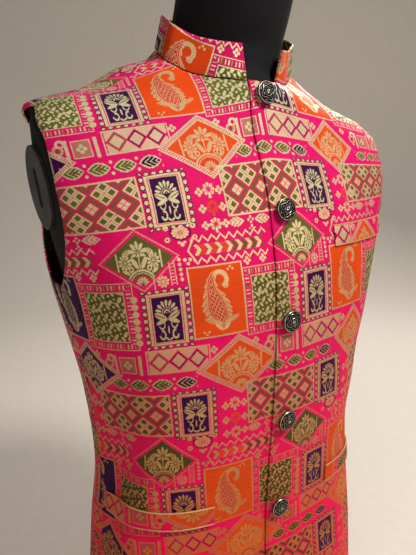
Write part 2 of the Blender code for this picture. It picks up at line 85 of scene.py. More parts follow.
def make_camera():
    """A camera that looks along its yaw and down by its pitch, then rolls a little."""
    level = math.cos(CAMERA_PITCH)
    forward = Vector((
        math.sin(CAMERA_YAW) * level,
        math.cos(CAMERA_YAW) * level,
        -math.sin(CAMERA_PITCH),
    ))
    right = Vector((math.cos(CAMERA_YAW), -math.sin(CAMERA_YAW), 0.0))
    up = right.cross(forward)
    rolled_right = math.cos(CAMERA_ROLL) * right + math.sin(CAMERA_ROLL) * up
    rolled_up = math.cos(CAMERA_ROLL) * up - math.sin(CAMERA_ROLL) * right
    data = bpy.data.cameras.new("camera")
    data.sensor_fit = "VERTICAL"
    data.sensor_height = SENSOR_HEIGHT
    data.lens = FOCAL_PIXELS * SENSOR_HEIGHT / FRAME_HEIGHT
    made = bpy.data.objects.new("camera", data)
    bpy.context.scene.collection.objects.link(made)
    turned = Matrix((rolled_right, rolled_up, -forward)).transposed().to_4x4()
    made.matrix_world = Matrix.Translation(CAMERA_PLACE) @ turned
    bpy.context.scene.camera = made
    return made


camera = make_camera()
print("lens:", round(camera.data.lens, 2), "mm")

# %% [markdown]
# All the cloth lies on one figure surface. A row of the table is a rounded section at
# one height: how wide and deep it is, how square its corners are, and how far the
# front hollows between the neck and the shoulder. A turn of 0 is the centre front, 90
# the wearer's left side and 180 the centre back. A monotone curve joins the rows
# without the bumps that an ordinary spline would add.

# %% The figure
COLUMNS = (
    "height",
    "half_width",
    "back_half_width",
    "front",
    "back",
    "centre_y",
    "front_square",
    "back_square",
    "front_hollow",
)
FIGURE = np.array([
    (0.000, 0.1780, 0.1780, 0.1070, 0.1190, 0.000, 2.8, 2.5, 0.00),
    (0.030, 0.1785, 0.1785, 0.1065, 0.1200, 0.000, 2.8, 2.5, 0.00),
    (0.100, 0.1775, 0.1775, 0.1035, 0.1220, 0.000, 2.8, 2.5, 0.00),
    (0.190, 0.1705, 0.1705, 0.1030, 0.1130, 0.000, 2.8, 2.5, 0.00),
    (0.280, 0.1600, 0.1600, 0.1105, 0.1010, 0.000, 2.8, 2.5, 0.00),
    (0.360, 0.1665, 0.1665, 0.1215, 0.1040, 0.002, 2.8, 2.5, 0.00),
    (0.440, 0.1815, 0.1815, 0.1285, 0.1110, 0.004, 2.9, 2.5, 0.00),
    (0.490, 0.1915, 0.1915, 0.1295, 0.1160, 0.005, 3.0, 2.5, 0.00),
    (0.560, 0.2185, 0.1980, 0.1222, 0.1190, 0.007, 2.8, 2.5, 0.00),
    (0.600, 0.2255, 0.1980, 0.1128, 0.1130, 0.009, 2.8, 2.4, 0.00),
    (0.632, 0.2235, 0.1995, 0.1010, 0.1040, 0.010, 2.7, 2.3, 0.00),
    (0.652, 0.2085, 0.2035, 0.0965, 0.0960, 0.010, 2.3, 2.1, 0.00),
    (0.674, 0.1465, 0.1450, 0.0915, 0.0880, 0.009, 2.0, 2.0, 0.03),
    (0.694, 0.1150, 0.1120, 0.0816, 0.0780, 0.006, 2.0, 2.0, 0.19),
    (0.708, 0.0775, 0.0775, 0.0740, 0.0690, -0.001, 2.0, 2.0, 0.02),
    (0.722, 0.0700, 0.0700, 0.0685, 0.0635, -0.008, 2.0, 2.0, 0.00),
    (0.745, 0.0670, 0.0670, 0.0670, 0.0640, -0.020, 2.0, 2.0, 0.00),
    (0.815, 0.0670, 0.0670, 0.0670, 0.0670, -0.040, 2.0, 2.0, 0.00),
])
HEM = 0.030
UNDERARM = 0.490
SHOULDER_TIP = 0.652
NECK_FRONT = 0.6840
NECK_TOP = 0.815
SHOULDER_SEAM_TURN = 84.0
SHOULDER_TIP_SLOPE = 0.077
LEAN_FROM = 0.54
LEAN_FULL = 0.652


def monotone_curve(knots, values, at):
    """A smooth curve through the knots that never overshoots between two of them."""
    at = np.clip(np.asarray(at, float), knots[0], knots[-1])
    gaps = np.diff(knots)
    slopes = np.diff(values) / gaps
    tangents = np.zeros(len(knots))
    same_sign = slopes[:-1] * slopes[1:] > 0
    inner = 2 * slopes[:-1] * slopes[1:]
    total = np.where(same_sign, slopes[:-1] + slopes[1:], 1.0)
    tangents[1:-1] = np.where(same_sign, inner / total, 0.0)
    tangents[0] = slopes[0]
    tangents[-1] = slopes[-1]
    i = np.clip(np.searchsorted(knots, at, side="right") - 1, 0, len(knots) - 2)
    t = (at - knots[i]) / gaps[i]
    start = (1 + 2 * t) * (1 - t) ** 2 * values[i] + t * (1 - t) ** 2 * gaps[i] * tangents[i]
    end = t * t * (3 - 2 * t) * values[i + 1] + t * t * (t - 1) * gaps[i] * tangents[i + 1]
    return start + end


def smooth_step(low, high, at):
    t = np.clip((np.asarray(at, float) - low) / (high - low), 0.0, 1.0)
    return t * t * (3 - 2 * t)


# %% [markdown]
# Cloth on a form is never smooth. The waist has a deep soft fold on either side where
# the side seam is drawn in, and small puckers lie where the front is buttoned tight.
# Each fold is one row: the turn and the height of its middle, half its width in
# degrees, half its length, its depth (a ridge is negative) and how many degrees it
# drifts for each metre of height. The large folds come first.

# %% Folds
FOLDS = (
    (-76, 0.300, 8, 0.075, 0.0075, 70),
    (-92, 0.285, 8, 0.070, -0.0040, 40),
    (-58, 0.345, 12, 0.030, 0.0030, 150),
    (80, 0.310, 11, 0.075, 0.0055, -60),
    (96, 0.290, 8, 0.060, -0.0035, -30),
    (40, 0.395, 16, 0.022, 0.0022, -200),
    (-26, 0.378, 14, 0.016, 0.0018, 220),
    (152, 0.330, 11, 0.070, 0.0055, 50),
    (-150, 0.310, 12, 0.080, 0.0050, -60),
    (178, 0.620, 20, 0.020, 0.0025, 0),
    (-44, 0.590, 10, 0.035, 0.0020, 260),
    (50, 0.585, 11, 0.030, 0.0020, -260),
    (-34, 0.462, 9, 0.0045, 0.0010, 0),
    (-30, 0.449, 8, 0.0040, -0.0008, 0),
    (-50, 0.448, 8, 0.0060, 0.0008, 0),
    (-12, 0.452, 8, 0.0050, 0.0008, 300),
    (-13, 0.340, 9, 0.0060, 0.0011, 300),
    (14, 0.334, 9, 0.0060, 0.0011, -300),
    (-16, 0.226, 10, 0.0070, 0.0010, 300),
    (17, 0.452, 9, 0.0060, 0.0009, -300),
    (-66, 0.405, 7, 0.0220, 0.0016, 120),
    (-47, 0.290, 8, 0.0240, 0.0016, 160),
    (-63, 0.225, 7, 0.0300, 0.0018, -60),
    (-84, 0.400, 7, 0.0400, 0.0020, 60),
    (-88, 0.170, 7, 0.0500, 0.0020, 20),
    (58, 0.300, 9, 0.0260, 0.0016, -160),
    (34, 0.470, 9, 0.0070, 0.0010, 0),
    (-20, 0.640, 10, 0.0120, 0.0009, 200),
    (165, 0.380, 9, 0.0300, 0.0016, 120),
    (-168, 0.270, 9, 0.0300, 0.0016, -100),
)


def fold_depth(turn, height):
    """How far the cloth dips at a place, all folds together."""
    depth = np.zeros(np.broadcast(turn, height).shape)
    for fold_turn, fold_height, half_turn, half_length, most_depth, drift in FOLDS:
        middle = fold_turn + drift * (height - fold_height)
        across = (np.mod(turn - middle + 180.0, 360.0) - 180.0) / half_turn
        along = (height - fold_height) / half_length
        depth = depth + most_depth * np.exp(-(across**2) - along**2)
    return depth


def lean(points):
    """Tips the shoulders and the neck towards the wearer's left."""
    share = smooth_step(LEAN_FROM, LEAN_FULL, points[..., 2])
    above = np.maximum(points[..., 2] - LEAN_FULL, 0.0)
    leaned = points.copy()
    leaned[..., 0] = points[..., 0] + SHOULDER_TIP_SLOPE * above
    leaned[..., 2] = points[..., 2] - SHOULDER_TIP_SLOPE * points[..., 0] * share
    return leaned


def figure_point(turn, height, folded=True):
    """The point of the figure at a turn and a height, before it is moved out."""
    turn, height = np.broadcast_arrays(np.asarray(turn, float), np.asarray(height, float))
    row = {
        name: monotone_curve(FIGURE[:, 0], FIGURE[:, k], height)
        for k, name in enumerate(COLUMNS)
    }
    sine = np.sin(np.radians(turn))
    cosine = np.cos(np.radians(turn))
    depth = np.where(cosine >= 0, row["front"], row["back"])
    share = smooth_step(-0.25, 0.25, -cosine)
    half_width = row["half_width"] + (row["back_half_width"] - row["half_width"]) * share
    square = row["front_square"] + (row["back_square"] - row["front_square"]) * share
    reach = (np.abs(sine) / half_width) ** square + (np.abs(cosine) / depth) ** square
    radius = reach ** (-1 / square)
    radius = radius * (1 - row["front_hollow"] * (1 - share) * np.sin(np.radians(2 * turn)) ** 2)
    if folded:
        radius = radius - fold_depth(turn, height)
    return np.stack([radius * sine, row["centre_y"] - radius * cosine, height], -1)


def surface_point(turn, height, out=0.0, folded=True):
    """A point of the surface, moved out along its normal and leaned."""
    turn, height = np.broadcast_arrays(np.asarray(turn, float), np.asarray(height, float))
    step_turn = 0.4
    step_height = 0.0008
    point = figure_point(turn, height, folded)
    left = figure_point(turn + step_turn, height, folded)
    right = figure_point(turn - step_turn, height, folded)
    upper = figure_point(turn, height + step_height, folded)
    lower = figure_point(turn, height - step_height, folded)
    normal = np.cross(left - right, upper - lower)
    normal = normal / np.linalg.norm(normal, axis=-1, keepdims=True)
    return lean(point + normal * np.asarray(out, float)[..., None])


print("folds:", len(FOLDS))

# %% [markdown]
# A panel's outline is two ends for each row of points: its inner end runs up the
# front or the centre back, and its outer end runs up the side seam, round the armhole
# and along the shoulder seam. The rows bend more and more like the neckline, which is
# the last one. The same outlines cut the CAD walls, so the shells fit them.

# %% Outlines of the panels
NECKLINE = np.array([
    (0, 0.6840),
    (25, 0.6850),
    (40, 0.6875),
    (50, 0.6908),
    (63, 0.6988),
    (84, 0.7095),
    (110, 0.7175),
    (140, 0.7200),
    (180, 0.7205),
])
ARMHOLE = np.array([
    (0.4900, 0.0045, 0.0045),
    (0.4930, -0.0068, 0.0160),
    (0.5025, -0.0229, 0.0320),
    (0.5250, -0.0474, 0.0520),
    (0.5488, -0.0590, 0.0630),
    (0.5663, -0.0610, 0.0670),
    (0.5950, -0.0576, 0.0660),
    (0.6113, -0.0522, 0.0620),
    (0.6275, -0.0440, 0.0540),
    (0.6440, -0.0270, 0.0300),
    (0.6520, -0.0118, -0.0118),
])
UNDERARM_ROW = 18
TIP_ROW = 27
NECK_ROW = 35
ROW_STEP = 0.25
SEAM_GAP = 0.0003
SHOULDER_GAP = 0.0006


def turn_at_x(x, height):
    """The turn at which the front of the figure is x from the middle."""
    front = monotone_curve(FIGURE[:, 0], FIGURE[:, COLUMNS.index("front")], height)
    return np.degrees(np.arctan2(x, front))


def neckline_height(turn):
    return monotone_curve(NECKLINE[:, 0], NECKLINE[:, 1], np.abs(turn))


def armhole_edge(height, back):
    y = float(monotone_curve(ARMHOLE[:, 0], ARMHOLE[:, 2 if back else 1], height))
    turns = np.linspace(*((80, 150) if back else (30, 100)), 181)
    return float(np.interp(y, figure_point(turns, height)[:, 1], turns))


def between(low, high, row, low_row, high_row):
    return low + (high - low) * (row - low_row) / (high_row - low_row)


def side_end(row, back):
    """The outer end of a panel's row."""
    if row <= UNDERARM_ROW:
        return 90.0, between(HEM, UNDERARM, row, 0, UNDERARM_ROW)
    if row < TIP_ROW:
        angle = between(0.0, math.pi, row, UNDERARM_ROW, TIP_ROW)
        height = UNDERARM + (SHOULDER_TIP - UNDERARM) * (1 - math.cos(angle)) / 2
        return armhole_edge(height, back), height
    neck_side = float(neckline_height(SHOULDER_SEAM_TURN))
    height = between(SHOULDER_TIP, neck_side, row, TIP_ROW, NECK_ROW)
    half_width = float(monotone_curve(FIGURE[:, 0], FIGURE[:, 1], height))
    half_gap = math.degrees(SHOULDER_GAP / 2 / half_width)
    return SHOULDER_SEAM_TURN + (half_gap if back else -half_gap), height


def middle_end(row, inner_turn, neck_turn):
    """The inner end of a panel's row."""
    if row <= UNDERARM_ROW:
        height = between(HEM, UNDERARM, row, 0, UNDERARM_ROW)
    else:
        top = float(neckline_height(neck_turn))
        height = between(UNDERARM, top, row, UNDERARM_ROW, NECK_ROW)
    return inner_turn(height), height


def row_line(row, back, inner_turn, neck_turn, t):
    """Turns and heights along a row, t from 0 at its inner to 1 at its outer end."""
    inner = middle_end(row, inner_turn, neck_turn)
    outer = side_end(row, back)
    turns = inner[0] + (outer[0] - inner[0]) * t
    heights = inner[1] + (outer[1] - inner[1]) * t
    last_inner = middle_end(NECK_ROW, inner_turn, neck_turn)
    last_outer = side_end(NECK_ROW, back)
    last_turns = last_inner[0] + (last_outer[0] - last_inner[0]) * t
    last_heights = last_inner[1] + (last_outer[1] - last_inner[1]) * t
    share = max(0.0, between(0.0, 1.0, row, UNDERARM_ROW, NECK_ROW)) ** 2
    return turns, heights + share * (neckline_height(last_turns) - last_heights)


def path_lengths(points):
    """How far along a path each of its points is."""
    steps = np.linalg.norm(np.diff(points, axis=0), axis=1)
    return np.concatenate([[0.0], np.cumsum(steps)])


def panel_places(columns, side, back, inner_turn, neck_turn):
    """The turns and heights of a panel's points, row by row from the hem up and
    evenly spaced along each row. side is 1 for the wearer's left, -1 for the right."""
    rows = np.arange(0.0, NECK_ROW + ROW_STEP / 2, ROW_STEP)
    turns = np.zeros((len(rows), columns))
    heights = np.zeros((len(rows), columns))
    t = np.linspace(0.0, 1.0, 200)
    for i, row in enumerate(rows):
        line_turns, line_heights = row_line(row, back, inner_turn, neck_turn, t)
        length = path_lengths(figure_point(side * line_turns, line_heights))
        last = length[-1] - (SEAM_GAP / 2 if row <= UNDERARM_ROW else 0.0)
        wanted = np.linspace(0.0, last, columns)
        turns[i] = side * np.interp(wanted, length, line_turns)
        heights[i] = np.interp(wanted, length, line_heights)
    return turns, heights


print("rows of a panel:", int(NECK_ROW / ROW_STEP) + 1)

# %% [markdown]
# The brocade's pattern must follow the cloth as it was cut, so every shell gets a UV
# map in metres: how far round the body a point is from the centre front, and how high
# it is. Near the shoulders the cloth slopes back and is eased over the chest, so it
# uses up more length than its height says. A short table gives that extra length for
# the fronts, and on top of the shoulders, where a step up is a long way over the cloth,
# they take the rest of that way too. The back is a piece of its own, cut with the
# pattern straight on the centre back, so its places are true lengths from that line.

# %% Places on the flat cloth
EASE_HEIGHTS = np.array([0.50, 0.54, 0.575, 0.62, 0.652, 0.69, 0.73])
EASE_SHARES = np.array([0.0, 0.01, 0.05, 0.13, 0.23, 0.42, 0.62])
LEFT_EASE = 0.5
SIDE_EASE = 0.07
SIDE_FROM = 0.12
SIDE_MOST = 0.14
SHALLOW_RISE = 1.7
TOP_FROM = 42.0
TOP_FULL = 68.0
UV_NAME = "cloth"


def make_arc_table():
    """Lengths round the body from the centre front, and up over it from the hem."""
    heights = np.linspace(0.0, 0.74, 149)
    turns = np.linspace(-130.0, 290.0, 841)
    points = figure_point(turns[None, :], heights[:, None], folded=False)
    steps = np.linalg.norm(np.diff(points, axis=1), axis=2)
    arcs = np.concatenate([np.zeros((len(heights), 1)), np.cumsum(steps, axis=1)], axis=1)
    front = int(np.argmin(np.abs(turns)))
    level = np.gradient(points, axis=1)
    level /= np.linalg.norm(level, axis=2, keepdims=True)
    rises = np.diff(points, axis=0)
    rises -= np.sum(rises * level[1:], axis=2, keepdims=True) * level[1:]
    rises = np.linalg.norm(rises, axis=2)
    extra = np.maximum(rises - SHALLOW_RISE * (heights[1] - heights[0]), 0.0)
    none = np.zeros((1, len(turns)))
    rises = np.concatenate([none, np.cumsum(rises, axis=0)])
    extra = np.concatenate([none, np.cumsum(extra, axis=0)])
    return heights, turns, arcs - arcs[:, [front]], rises, extra


ARC_HEIGHTS, ARC_TURNS, ARCS, RISES, TOP_EXTRA = make_arc_table()


def read_lengths(table, turns, heights):
    """A length from one of the tables, for each point."""
    i = np.interp(heights, ARC_HEIGHTS, np.arange(len(ARC_HEIGHTS)))
    j = np.interp(turns, ARC_TURNS, np.arange(len(ARC_TURNS)))
    i0 = np.minimum(i.astype(int), len(ARC_HEIGHTS) - 2)
    j0 = np.minimum(j.astype(int), len(ARC_TURNS) - 2)
    a = i - i0
    b = j - j0
    low = table[i0, j0] * (1 - b) + table[i0, j0 + 1] * b
    high = table[i0 + 1, j0] * (1 - b) + table[i0 + 1, j0 + 1] * b
    return low * (1 - a) + high * a


def back_place(turns, heights):
    """The place on the flat cloth of each point of the back."""
    centre = read_lengths(ARCS, np.full_like(turns, 180.0), heights)
    from_centre = read_lengths(ARCS, turns, heights) - centre
    return np.stack([from_centre, read_lengths(RISES, turns, heights)], -1)


def cloth_place(turns, heights):
    """The place on the flat cloth of each point of a front, as (round, up) in metres."""
    round_body = read_lengths(ARCS, turns, heights)
    ease = monotone_curve(EASE_HEIGHTS, EASE_SHARES, heights) * np.where(turns > 0, LEFT_EASE, 1.0)
    beyond = np.clip(-round_body - SIDE_FROM, 0.0, SIDE_MOST)
    top = read_lengths(TOP_EXTRA, turns, heights) * smooth_step(TOP_FROM, TOP_FULL, np.abs(turns))
    return np.stack([round_body, heights + ease * np.abs(round_body) + SIDE_EASE * beyond + top], -1)


print("half chest round the cloth:", round(float(np.interp(90, ARC_TURNS, ARCS[98])), 3), "m")

# %% [markdown]
# A shell is an outer and an inner sheet of points with a rim between them. The outer
# sheet drops a little at its very edge, so that smooth shading rounds the edge as a
# turned and pressed one is. Each face takes its corners' places on the flat cloth.

# %% Mesh helpers
EDGE_DROP = 0.0004
CLOTH_WALL = 0.0018


def mesh_piece(name, points, faces, uv=None):
    """A smooth mesh object, with a UV map for each point if there is one."""
    mesh = bpy.data.meshes.new(name)
    mesh.from_pydata([tuple(p) for p in points], [], faces)
    if uv is not None:
        layer = mesh.uv_layers.new(name=UV_NAME)
        corners = np.zeros(len(mesh.loops), dtype=np.int32)
        mesh.loops.foreach_get("vertex_index", corners)
        layer.data.foreach_set("uv", np.asarray(uv, np.float32)[corners].ravel())
    mesh.validate()
    mesh.shade_smooth()
    mesh.set_sharp_from_angle(angle=math.radians(60))
    made = bpy.data.objects.new(name, mesh)
    bpy.context.scene.collection.objects.link(made)
    return made


def grid_faces(rows, columns, flip, closed=False):
    """Quads between neighbouring points of a grid, closed round its columns if asked."""
    faces = []
    for i in range(rows - 1):
        for j in range(columns if closed else columns - 1):
            k = (j + 1) % columns
            quad = [i * columns + j, i * columns + k, (i + 1) * columns + k, (i + 1) * columns + j]
            faces.append(quad[::-1] if flip else quad)
    return faces


def ring_piece(name, rings, flip=False, uv=None):
    """A piece made of closed rings of points, with a face over each end."""
    count, around = rings.shape[:2]
    faces = grid_faces(count, around, flip, closed=True)
    first = list(range(around))
    last = list(range((count - 1) * around, count * around))
    faces += [first, last[::-1]] if flip else [first[::-1], last]
    return mesh_piece(name, rings.reshape(-1, 3), faces, uv)


def stand_in(piece, node):
    """Puts a piece in the place of a CAD node."""
    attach(piece, "root")
    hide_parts(node)


def shell(name, outer, inner, flip, uv):
    """A closed wall between two grids of points."""
    rows, columns = outer.shape[:2]
    count = rows * columns
    outer_faces = grid_faces(rows, columns, flip)
    inner_faces = [[k + count for k in face][::-1] for face in outer_faces]
    rim = list(range(columns))
    rim += [i * columns + columns - 1 for i in range(1, rows)]
    rim += [(rows - 1) * columns + j for j in range(columns - 2, -1, -1)]
    rim += [i * columns for i in range(rows - 2, 0, -1)]
    edge_faces = []
    for a, b in zip(rim, rim[1:] + rim[:1]):
        face = [b, a, a + count, b + count]
        edge_faces.append(face[::-1] if flip else face)
    points = np.concatenate([outer.reshape(-1, 3), inner.reshape(-1, 3)])
    places = np.concatenate([uv.reshape(-1, 2), uv.reshape(-1, 2)])
    return mesh_piece(name, points, outer_faces + inner_faces + edge_faces, places)


def cloth_shell(name, turns, heights, out, place=cloth_place):
    """A shell of cloth on the figure surface, its outer sheet moved out by out."""
    out = np.broadcast_to(np.asarray(out, float), turns.shape).copy()
    out[[0, -1], :] -= EDGE_DROP
    out[:, [0, -1]] -= EDGE_DROP
    outer = surface_point(turns, heights, out)
    inner = surface_point(turns, heights, out - CLOTH_WALL + EDGE_DROP)
    return shell(name, outer, inner, turns[0, 1] < turns[0, 0], place(turns, heights))


def flat_area(turns, heights):
    """The area of a grid of cloth and the size of the rectangle it was cut from."""
    points = figure_point(turns, heights)
    across = points[1:, 1:] - points[:-1, :-1]
    up = points[1:, :-1] - points[:-1, 1:]
    area = float(np.linalg.norm(np.cross(across, up), axis=-1).sum() / 2)
    width = float(np.linalg.norm(np.diff(points, axis=1), axis=2).sum(axis=1).max())
    length = float(np.linalg.norm(np.diff(points, axis=0), axis=2).sum(axis=0).max())
    return area, width, max(length, area / width * 1.001)


# %% [markdown]
# The fronts overlap at the middle: the wearer's left front lies on the right one and
# dips back to it away from the buttons. The back is one piece from side seam to side
# seam. Fine rows and columns, about 5 mm apart, let the small folds show.

# %% Fronts and back
LAP_GAP = 0.0008
LAP_EDGE = -0.0125
UNDERLAP_EDGE = 0.016
LAP_LEVEL = 0.0220
LAP_FADE = 0.0550
FRONT_COLUMNS = 61
HALF_BACK_COLUMNS = 49


def lap_rise(turns, heights):
    """How far the left front is lifted by the right one under it."""
    x = figure_point(turns, heights)[..., 0]
    return (CLOTH_WALL + LAP_GAP) * (1 - smooth_step(LAP_LEVEL, LAP_FADE, x))


def lap_turn(height):
    return float(turn_at_x(LAP_EDGE, height))


def underlap_turn(height):
    return -float(turn_at_x(UNDERLAP_EDGE, height))


CLOTH = {}


def finish_cloth(piece, node, turns, heights, with_pieces=()):
    """Puts a cloth piece in its node's place and says how its cloth was cut."""
    area, width, length = flat_area(turns, heights)
    stand_in(piece, node)
    CLOTH[node] = piece
    print(node, "cut from", round(width, 3), "x", round(length, 3), "m, area", round(area, 4))


left_places = panel_places(FRONT_COLUMNS, 1, False, lap_turn, lap_turn(NECK_FRONT))
right_places = panel_places(FRONT_COLUMNS, -1, False, underlap_turn, underlap_turn(NECK_FRONT))
half_turns, half_heights = panel_places(HALF_BACK_COLUMNS, 1, True, lambda height: 180.0, 180.0)
back_places = (
    np.concatenate([half_turns[:, :0:-1], 360.0 - half_turns], axis=1),
    np.concatenate([half_heights[:, :0:-1], half_heights], axis=1),
)

front_left = cloth_shell("front_left_cloth", *left_places, lap_rise(*left_places))
front_right = cloth_shell("front_right_cloth", *right_places, 0.0)
back = cloth_shell("back_cloth", *back_places, 0.0, back_place)
finish_cloth(front_left, "front_left", *left_places)
finish_cloth(front_right, "front_right", *right_places)
finish_cloth(back, "back", *back_places)

# %% [markdown]
# The stand collar is a band with its ends apart at the centre front. Its section is a
# narrow loop of points with a rounded top, because the cloth is folded over there. It
# is cut across the grain of the fronts, so its pattern lies at an angle.

# %% Collar
COLLAR_HEIGHT = 0.0340
COLLAR_FRONT_LOWER = 0.02
COLLAR_WALL = 0.0026
COLLAR_GAP = 0.0009
COLLAR_LEFT_END = 18.0
COLLAR_RIGHT_END = -8.5
COLLAR_END_SLANT = 6.5
COLLAR_FORWARD = 0.20
COLLAR_INWARD = 0.10
COLLAR_SIDEWAYS = 0.086
COLLAR_COLUMNS = 161
COLLAR_LEAN_ALONG = math.radians(-18.0)
COLLAR_LEAN_UP = math.radians(-7.0)
COLLAR_ANCHOR = np.array([-0.0665, 0.0170])
COLLAR_PATTERN = np.array([-0.0794, 0.5030])


def collar_point(turn, share, out):
    """A point of the collar: turn round the neck, share of its height. The turns close
    up a little towards the top at the two ends, which slant apart."""
    near_left = np.clip(1 - np.abs(turn - COLLAR_LEFT_END) / 30.0, 0.0, 1.0)
    near_right = np.clip(1 - np.abs(turn - COLLAR_RIGHT_END) / 30.0, 0.0, 1.0)
    near_left = near_left * (turn > (COLLAR_LEFT_END + COLLAR_RIGHT_END) / 2)
    near_right = near_right * (turn < (COLLAR_LEFT_END + COLLAR_RIGHT_END) / 2)
    turn = turn + (near_left - near_right) * COLLAR_END_SLANT * share
    base = surface_point(turn, neckline_height(turn))
    outward = np.stack([np.sin(np.radians(turn)), -np.cos(np.radians(turn)), np.zeros_like(turn)], -1)
    up = np.array([COLLAR_SIDEWAYS, -COLLAR_FORWARD, 1.0]) - COLLAR_INWARD * outward
    up = up / np.linalg.norm(up, axis=-1, keepdims=True)
    rise = share * COLLAR_HEIGHT * (1 - COLLAR_FRONT_LOWER * np.cos(np.radians(turn)))
    return base + up * (COLLAR_GAP + rise)[..., None] + outward * out


def collar_loop():
    """The (share, out) places round the collar's section, from its foot upwards."""
    half = COLLAR_WALL / 2
    top = 1.0 - half / COLLAR_HEIGHT
    loop = [(share, -EDGE_DROP * (share < 0.01)) for share in np.linspace(0.0, top, 9)]
    for angle in np.linspace(0.0, math.pi, 7)[1:-1]:
        loop.append((top + math.sin(angle) * half / COLLAR_HEIGHT, -half + math.cos(angle) * half))
    loop += [(share, -COLLAR_WALL) for share in np.linspace(top, 0.0, 5)]
    return loop


def make_collar():
    turns = np.linspace(COLLAR_LEFT_END, 360 + COLLAR_RIGHT_END, COLLAR_COLUMNS)
    signed = np.where(turns > 180, turns - 360, turns)
    loop = collar_loop()
    ring = np.stack([collar_point(signed, share, out) for share, out in loop], axis=1)
    along = path_lengths(ring[:, 0])
    along -= np.interp(360.0, turns, along)
    heights = np.array([share * COLLAR_HEIGHT for share, _out in loop])
    grid = np.stack(np.broadcast_arrays(along[:, None], heights[None, :]), -1) - COLLAR_ANCHOR
    turned = np.stack([
        grid[..., 0] * math.cos(COLLAR_LEAN_ALONG) + grid[..., 1] * math.sin(COLLAR_LEAN_ALONG),
        grid[..., 1] * math.cos(COLLAR_LEAN_UP) - grid[..., 0] * math.sin(COLLAR_LEAN_UP),
    ], -1)
    made = ring_piece("collar_cloth", ring, True, (turned + COLLAR_PATTERN).reshape(-1, 2))
    stand_in(made, "collar")
    CLOTH["collar"] = made
    return made


collar = make_collar()

# %% [markdown]
# A welt is a folded strip that covers a pocket's mouth. It is made from the panel's own
# points moved out, so it follows the body. On the real jacket a thin cord of pale gold
# cloth runs along its edges: here a tube is swept along the same points.

# %% Welts
WELTS = {
    "welt_pocket_right": dict(side=-1, top=0.251, start=0.079, length=0.136, height=0.020),
    "welt_pocket_left": dict(side=1, top=0.245, start=0.079, length=0.132, height=0.020),
    "welt_chest_left": dict(side=1, top=0.537, start=0.070, length=0.098, height=0.020),
}
WELT_PATTERN = {
    "welt_pocket_right": (-1, np.array([-0.0965, 0.6474])),
    "welt_pocket_left": (1, np.array([0.120, 0.276])),
    "welt_chest_left": (1, np.array([0.040, 0.6460])),
}
WELT_WALL = 0.0016
WELT_GAP = 0.0008
WELT_COLUMNS = 49
WELT_ROWS = 9
PIPING_RADIUS = 0.0009
PIPING_SIDES = 8


def welt_places(side, top, start, length, height):
    """The turns and heights of a welt's points, row by row from its lower edge."""
    turns = np.zeros((WELT_ROWS, WELT_COLUMNS))
    heights = np.zeros((WELT_ROWS, WELT_COLUMNS))
    fine_turns = side * np.linspace(0.0, 120.0, 240)
    wanted = np.linspace(start, start + length, WELT_COLUMNS)
    for i, share in enumerate(np.linspace(0.0, 1.0, WELT_ROWS)):
        heights[i] = top - height * (1 - share)
        arc = path_lengths(figure_point(fine_turns, heights[i, 0]))
        turns[i] = np.interp(wanted, arc, fine_turns)
    return turns, heights


def tube(name, path, radius, sides):
    """A round tube along a path of points, with rounded ends."""
    path = np.asarray(path)
    ahead = np.gradient(path, axis=0)
    ahead = ahead / np.linalg.norm(ahead, axis=1, keepdims=True)
    level = np.cross(ahead, np.array([0.0, 0.0, 1.0]))
    level = level / np.linalg.norm(level, axis=1, keepdims=True)
    other = np.cross(level, ahead)
    angles = np.linspace(0.0, 2 * math.pi, sides, endpoint=False)
    widths = np.full(len(path), radius)
    widths[[0, -1]] = radius * 0.45
    rings = []
    for centre, a, b, width in zip(path, level, other, widths):
        rings.append([centre + width * (math.cos(t) * a + math.sin(t) * b) for t in angles])
    return ring_piece(name, np.array(rings))


PIPINGS = []


def make_welt(name, sizes):
    turns, heights = welt_places(**sizes)
    side = sizes["side"]
    lift = lap_rise(turns, heights) if side > 0 else np.zeros_like(turns)
    out = lift + WELT_GAP + WELT_WALL
    out[[0, -1], :] -= EDGE_DROP
    out[:, [0, -1]] -= EDGE_DROP
    outer = surface_point(turns, heights, out)
    inner = surface_point(turns, heights, lift + WELT_GAP)
    flip = turns[0, 1] < turns[0, 0]
    grain, start = WELT_PATTERN[name]
    along = np.linspace(0.0, side * sizes["length"], WELT_COLUMNS)
    up = heights[:, :1] - sizes["top"] + sizes["height"] / 2
    places = start + grain * np.stack(np.broadcast_arrays(along[None, :], up), -1)
    made = shell(name + "_cloth", outer, inner, flip, places)
    stand_in(made, name)
    pipes = []
    for row, label in ((-1, "upper"), (0, "lower")):
        path = surface_point(turns[row], heights[row], lift[row] + WELT_GAP + PIPING_RADIUS * 0.8)
        path[:, 2] += PIPING_RADIUS * (0.5 if row else -0.5)
        pipe = tube(name + "_piping_" + label, path, PIPING_RADIUS, PIPING_SIDES)
        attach(pipe, "root")
        pipes.append(pipe)
    PIPINGS.extend(pipes)
    CLOTH[name] = made
    return made


for welt_name, welt_sizes in WELTS.items():
    make_welt(welt_name, welt_sizes)
print("welts:", len(WELTS), "with", len(PIPINGS), "pipings")

# %% [markdown]
# The buttons are cast metal domes about 23 mm across, with a raised rim, a small boss
# in the middle and a vine in relief between them. A fine lathe grid is moved along its
# normals by that relief. The height of the relief is also kept as an attribute, which
# the metal reads later to darken the hollows as an antique finish does.

# %% Buttons
BUTTON_COUNT = 5
BUTTON_TOP = 0.6725
BUTTON_SPACING = 0.112
BUTTON_RADIUS = 0.0115
BUTTON_ACROSS = 0.003
BUTTON_GAP = 0.0005
BUTTON_TWIST = 0.7
BUTTON_STEPS = 120
RELIEF_DEPTH = 0.00055
DOME_HEIGHT = 0.0073
EDGE_HEIGHT = 0.0040
BUTTON_BACK = ((0.30, 0.0), (0.30, 0.0022), (0.88, 0.0024), (0.97, 0.0029), (1.0, 0.0035))


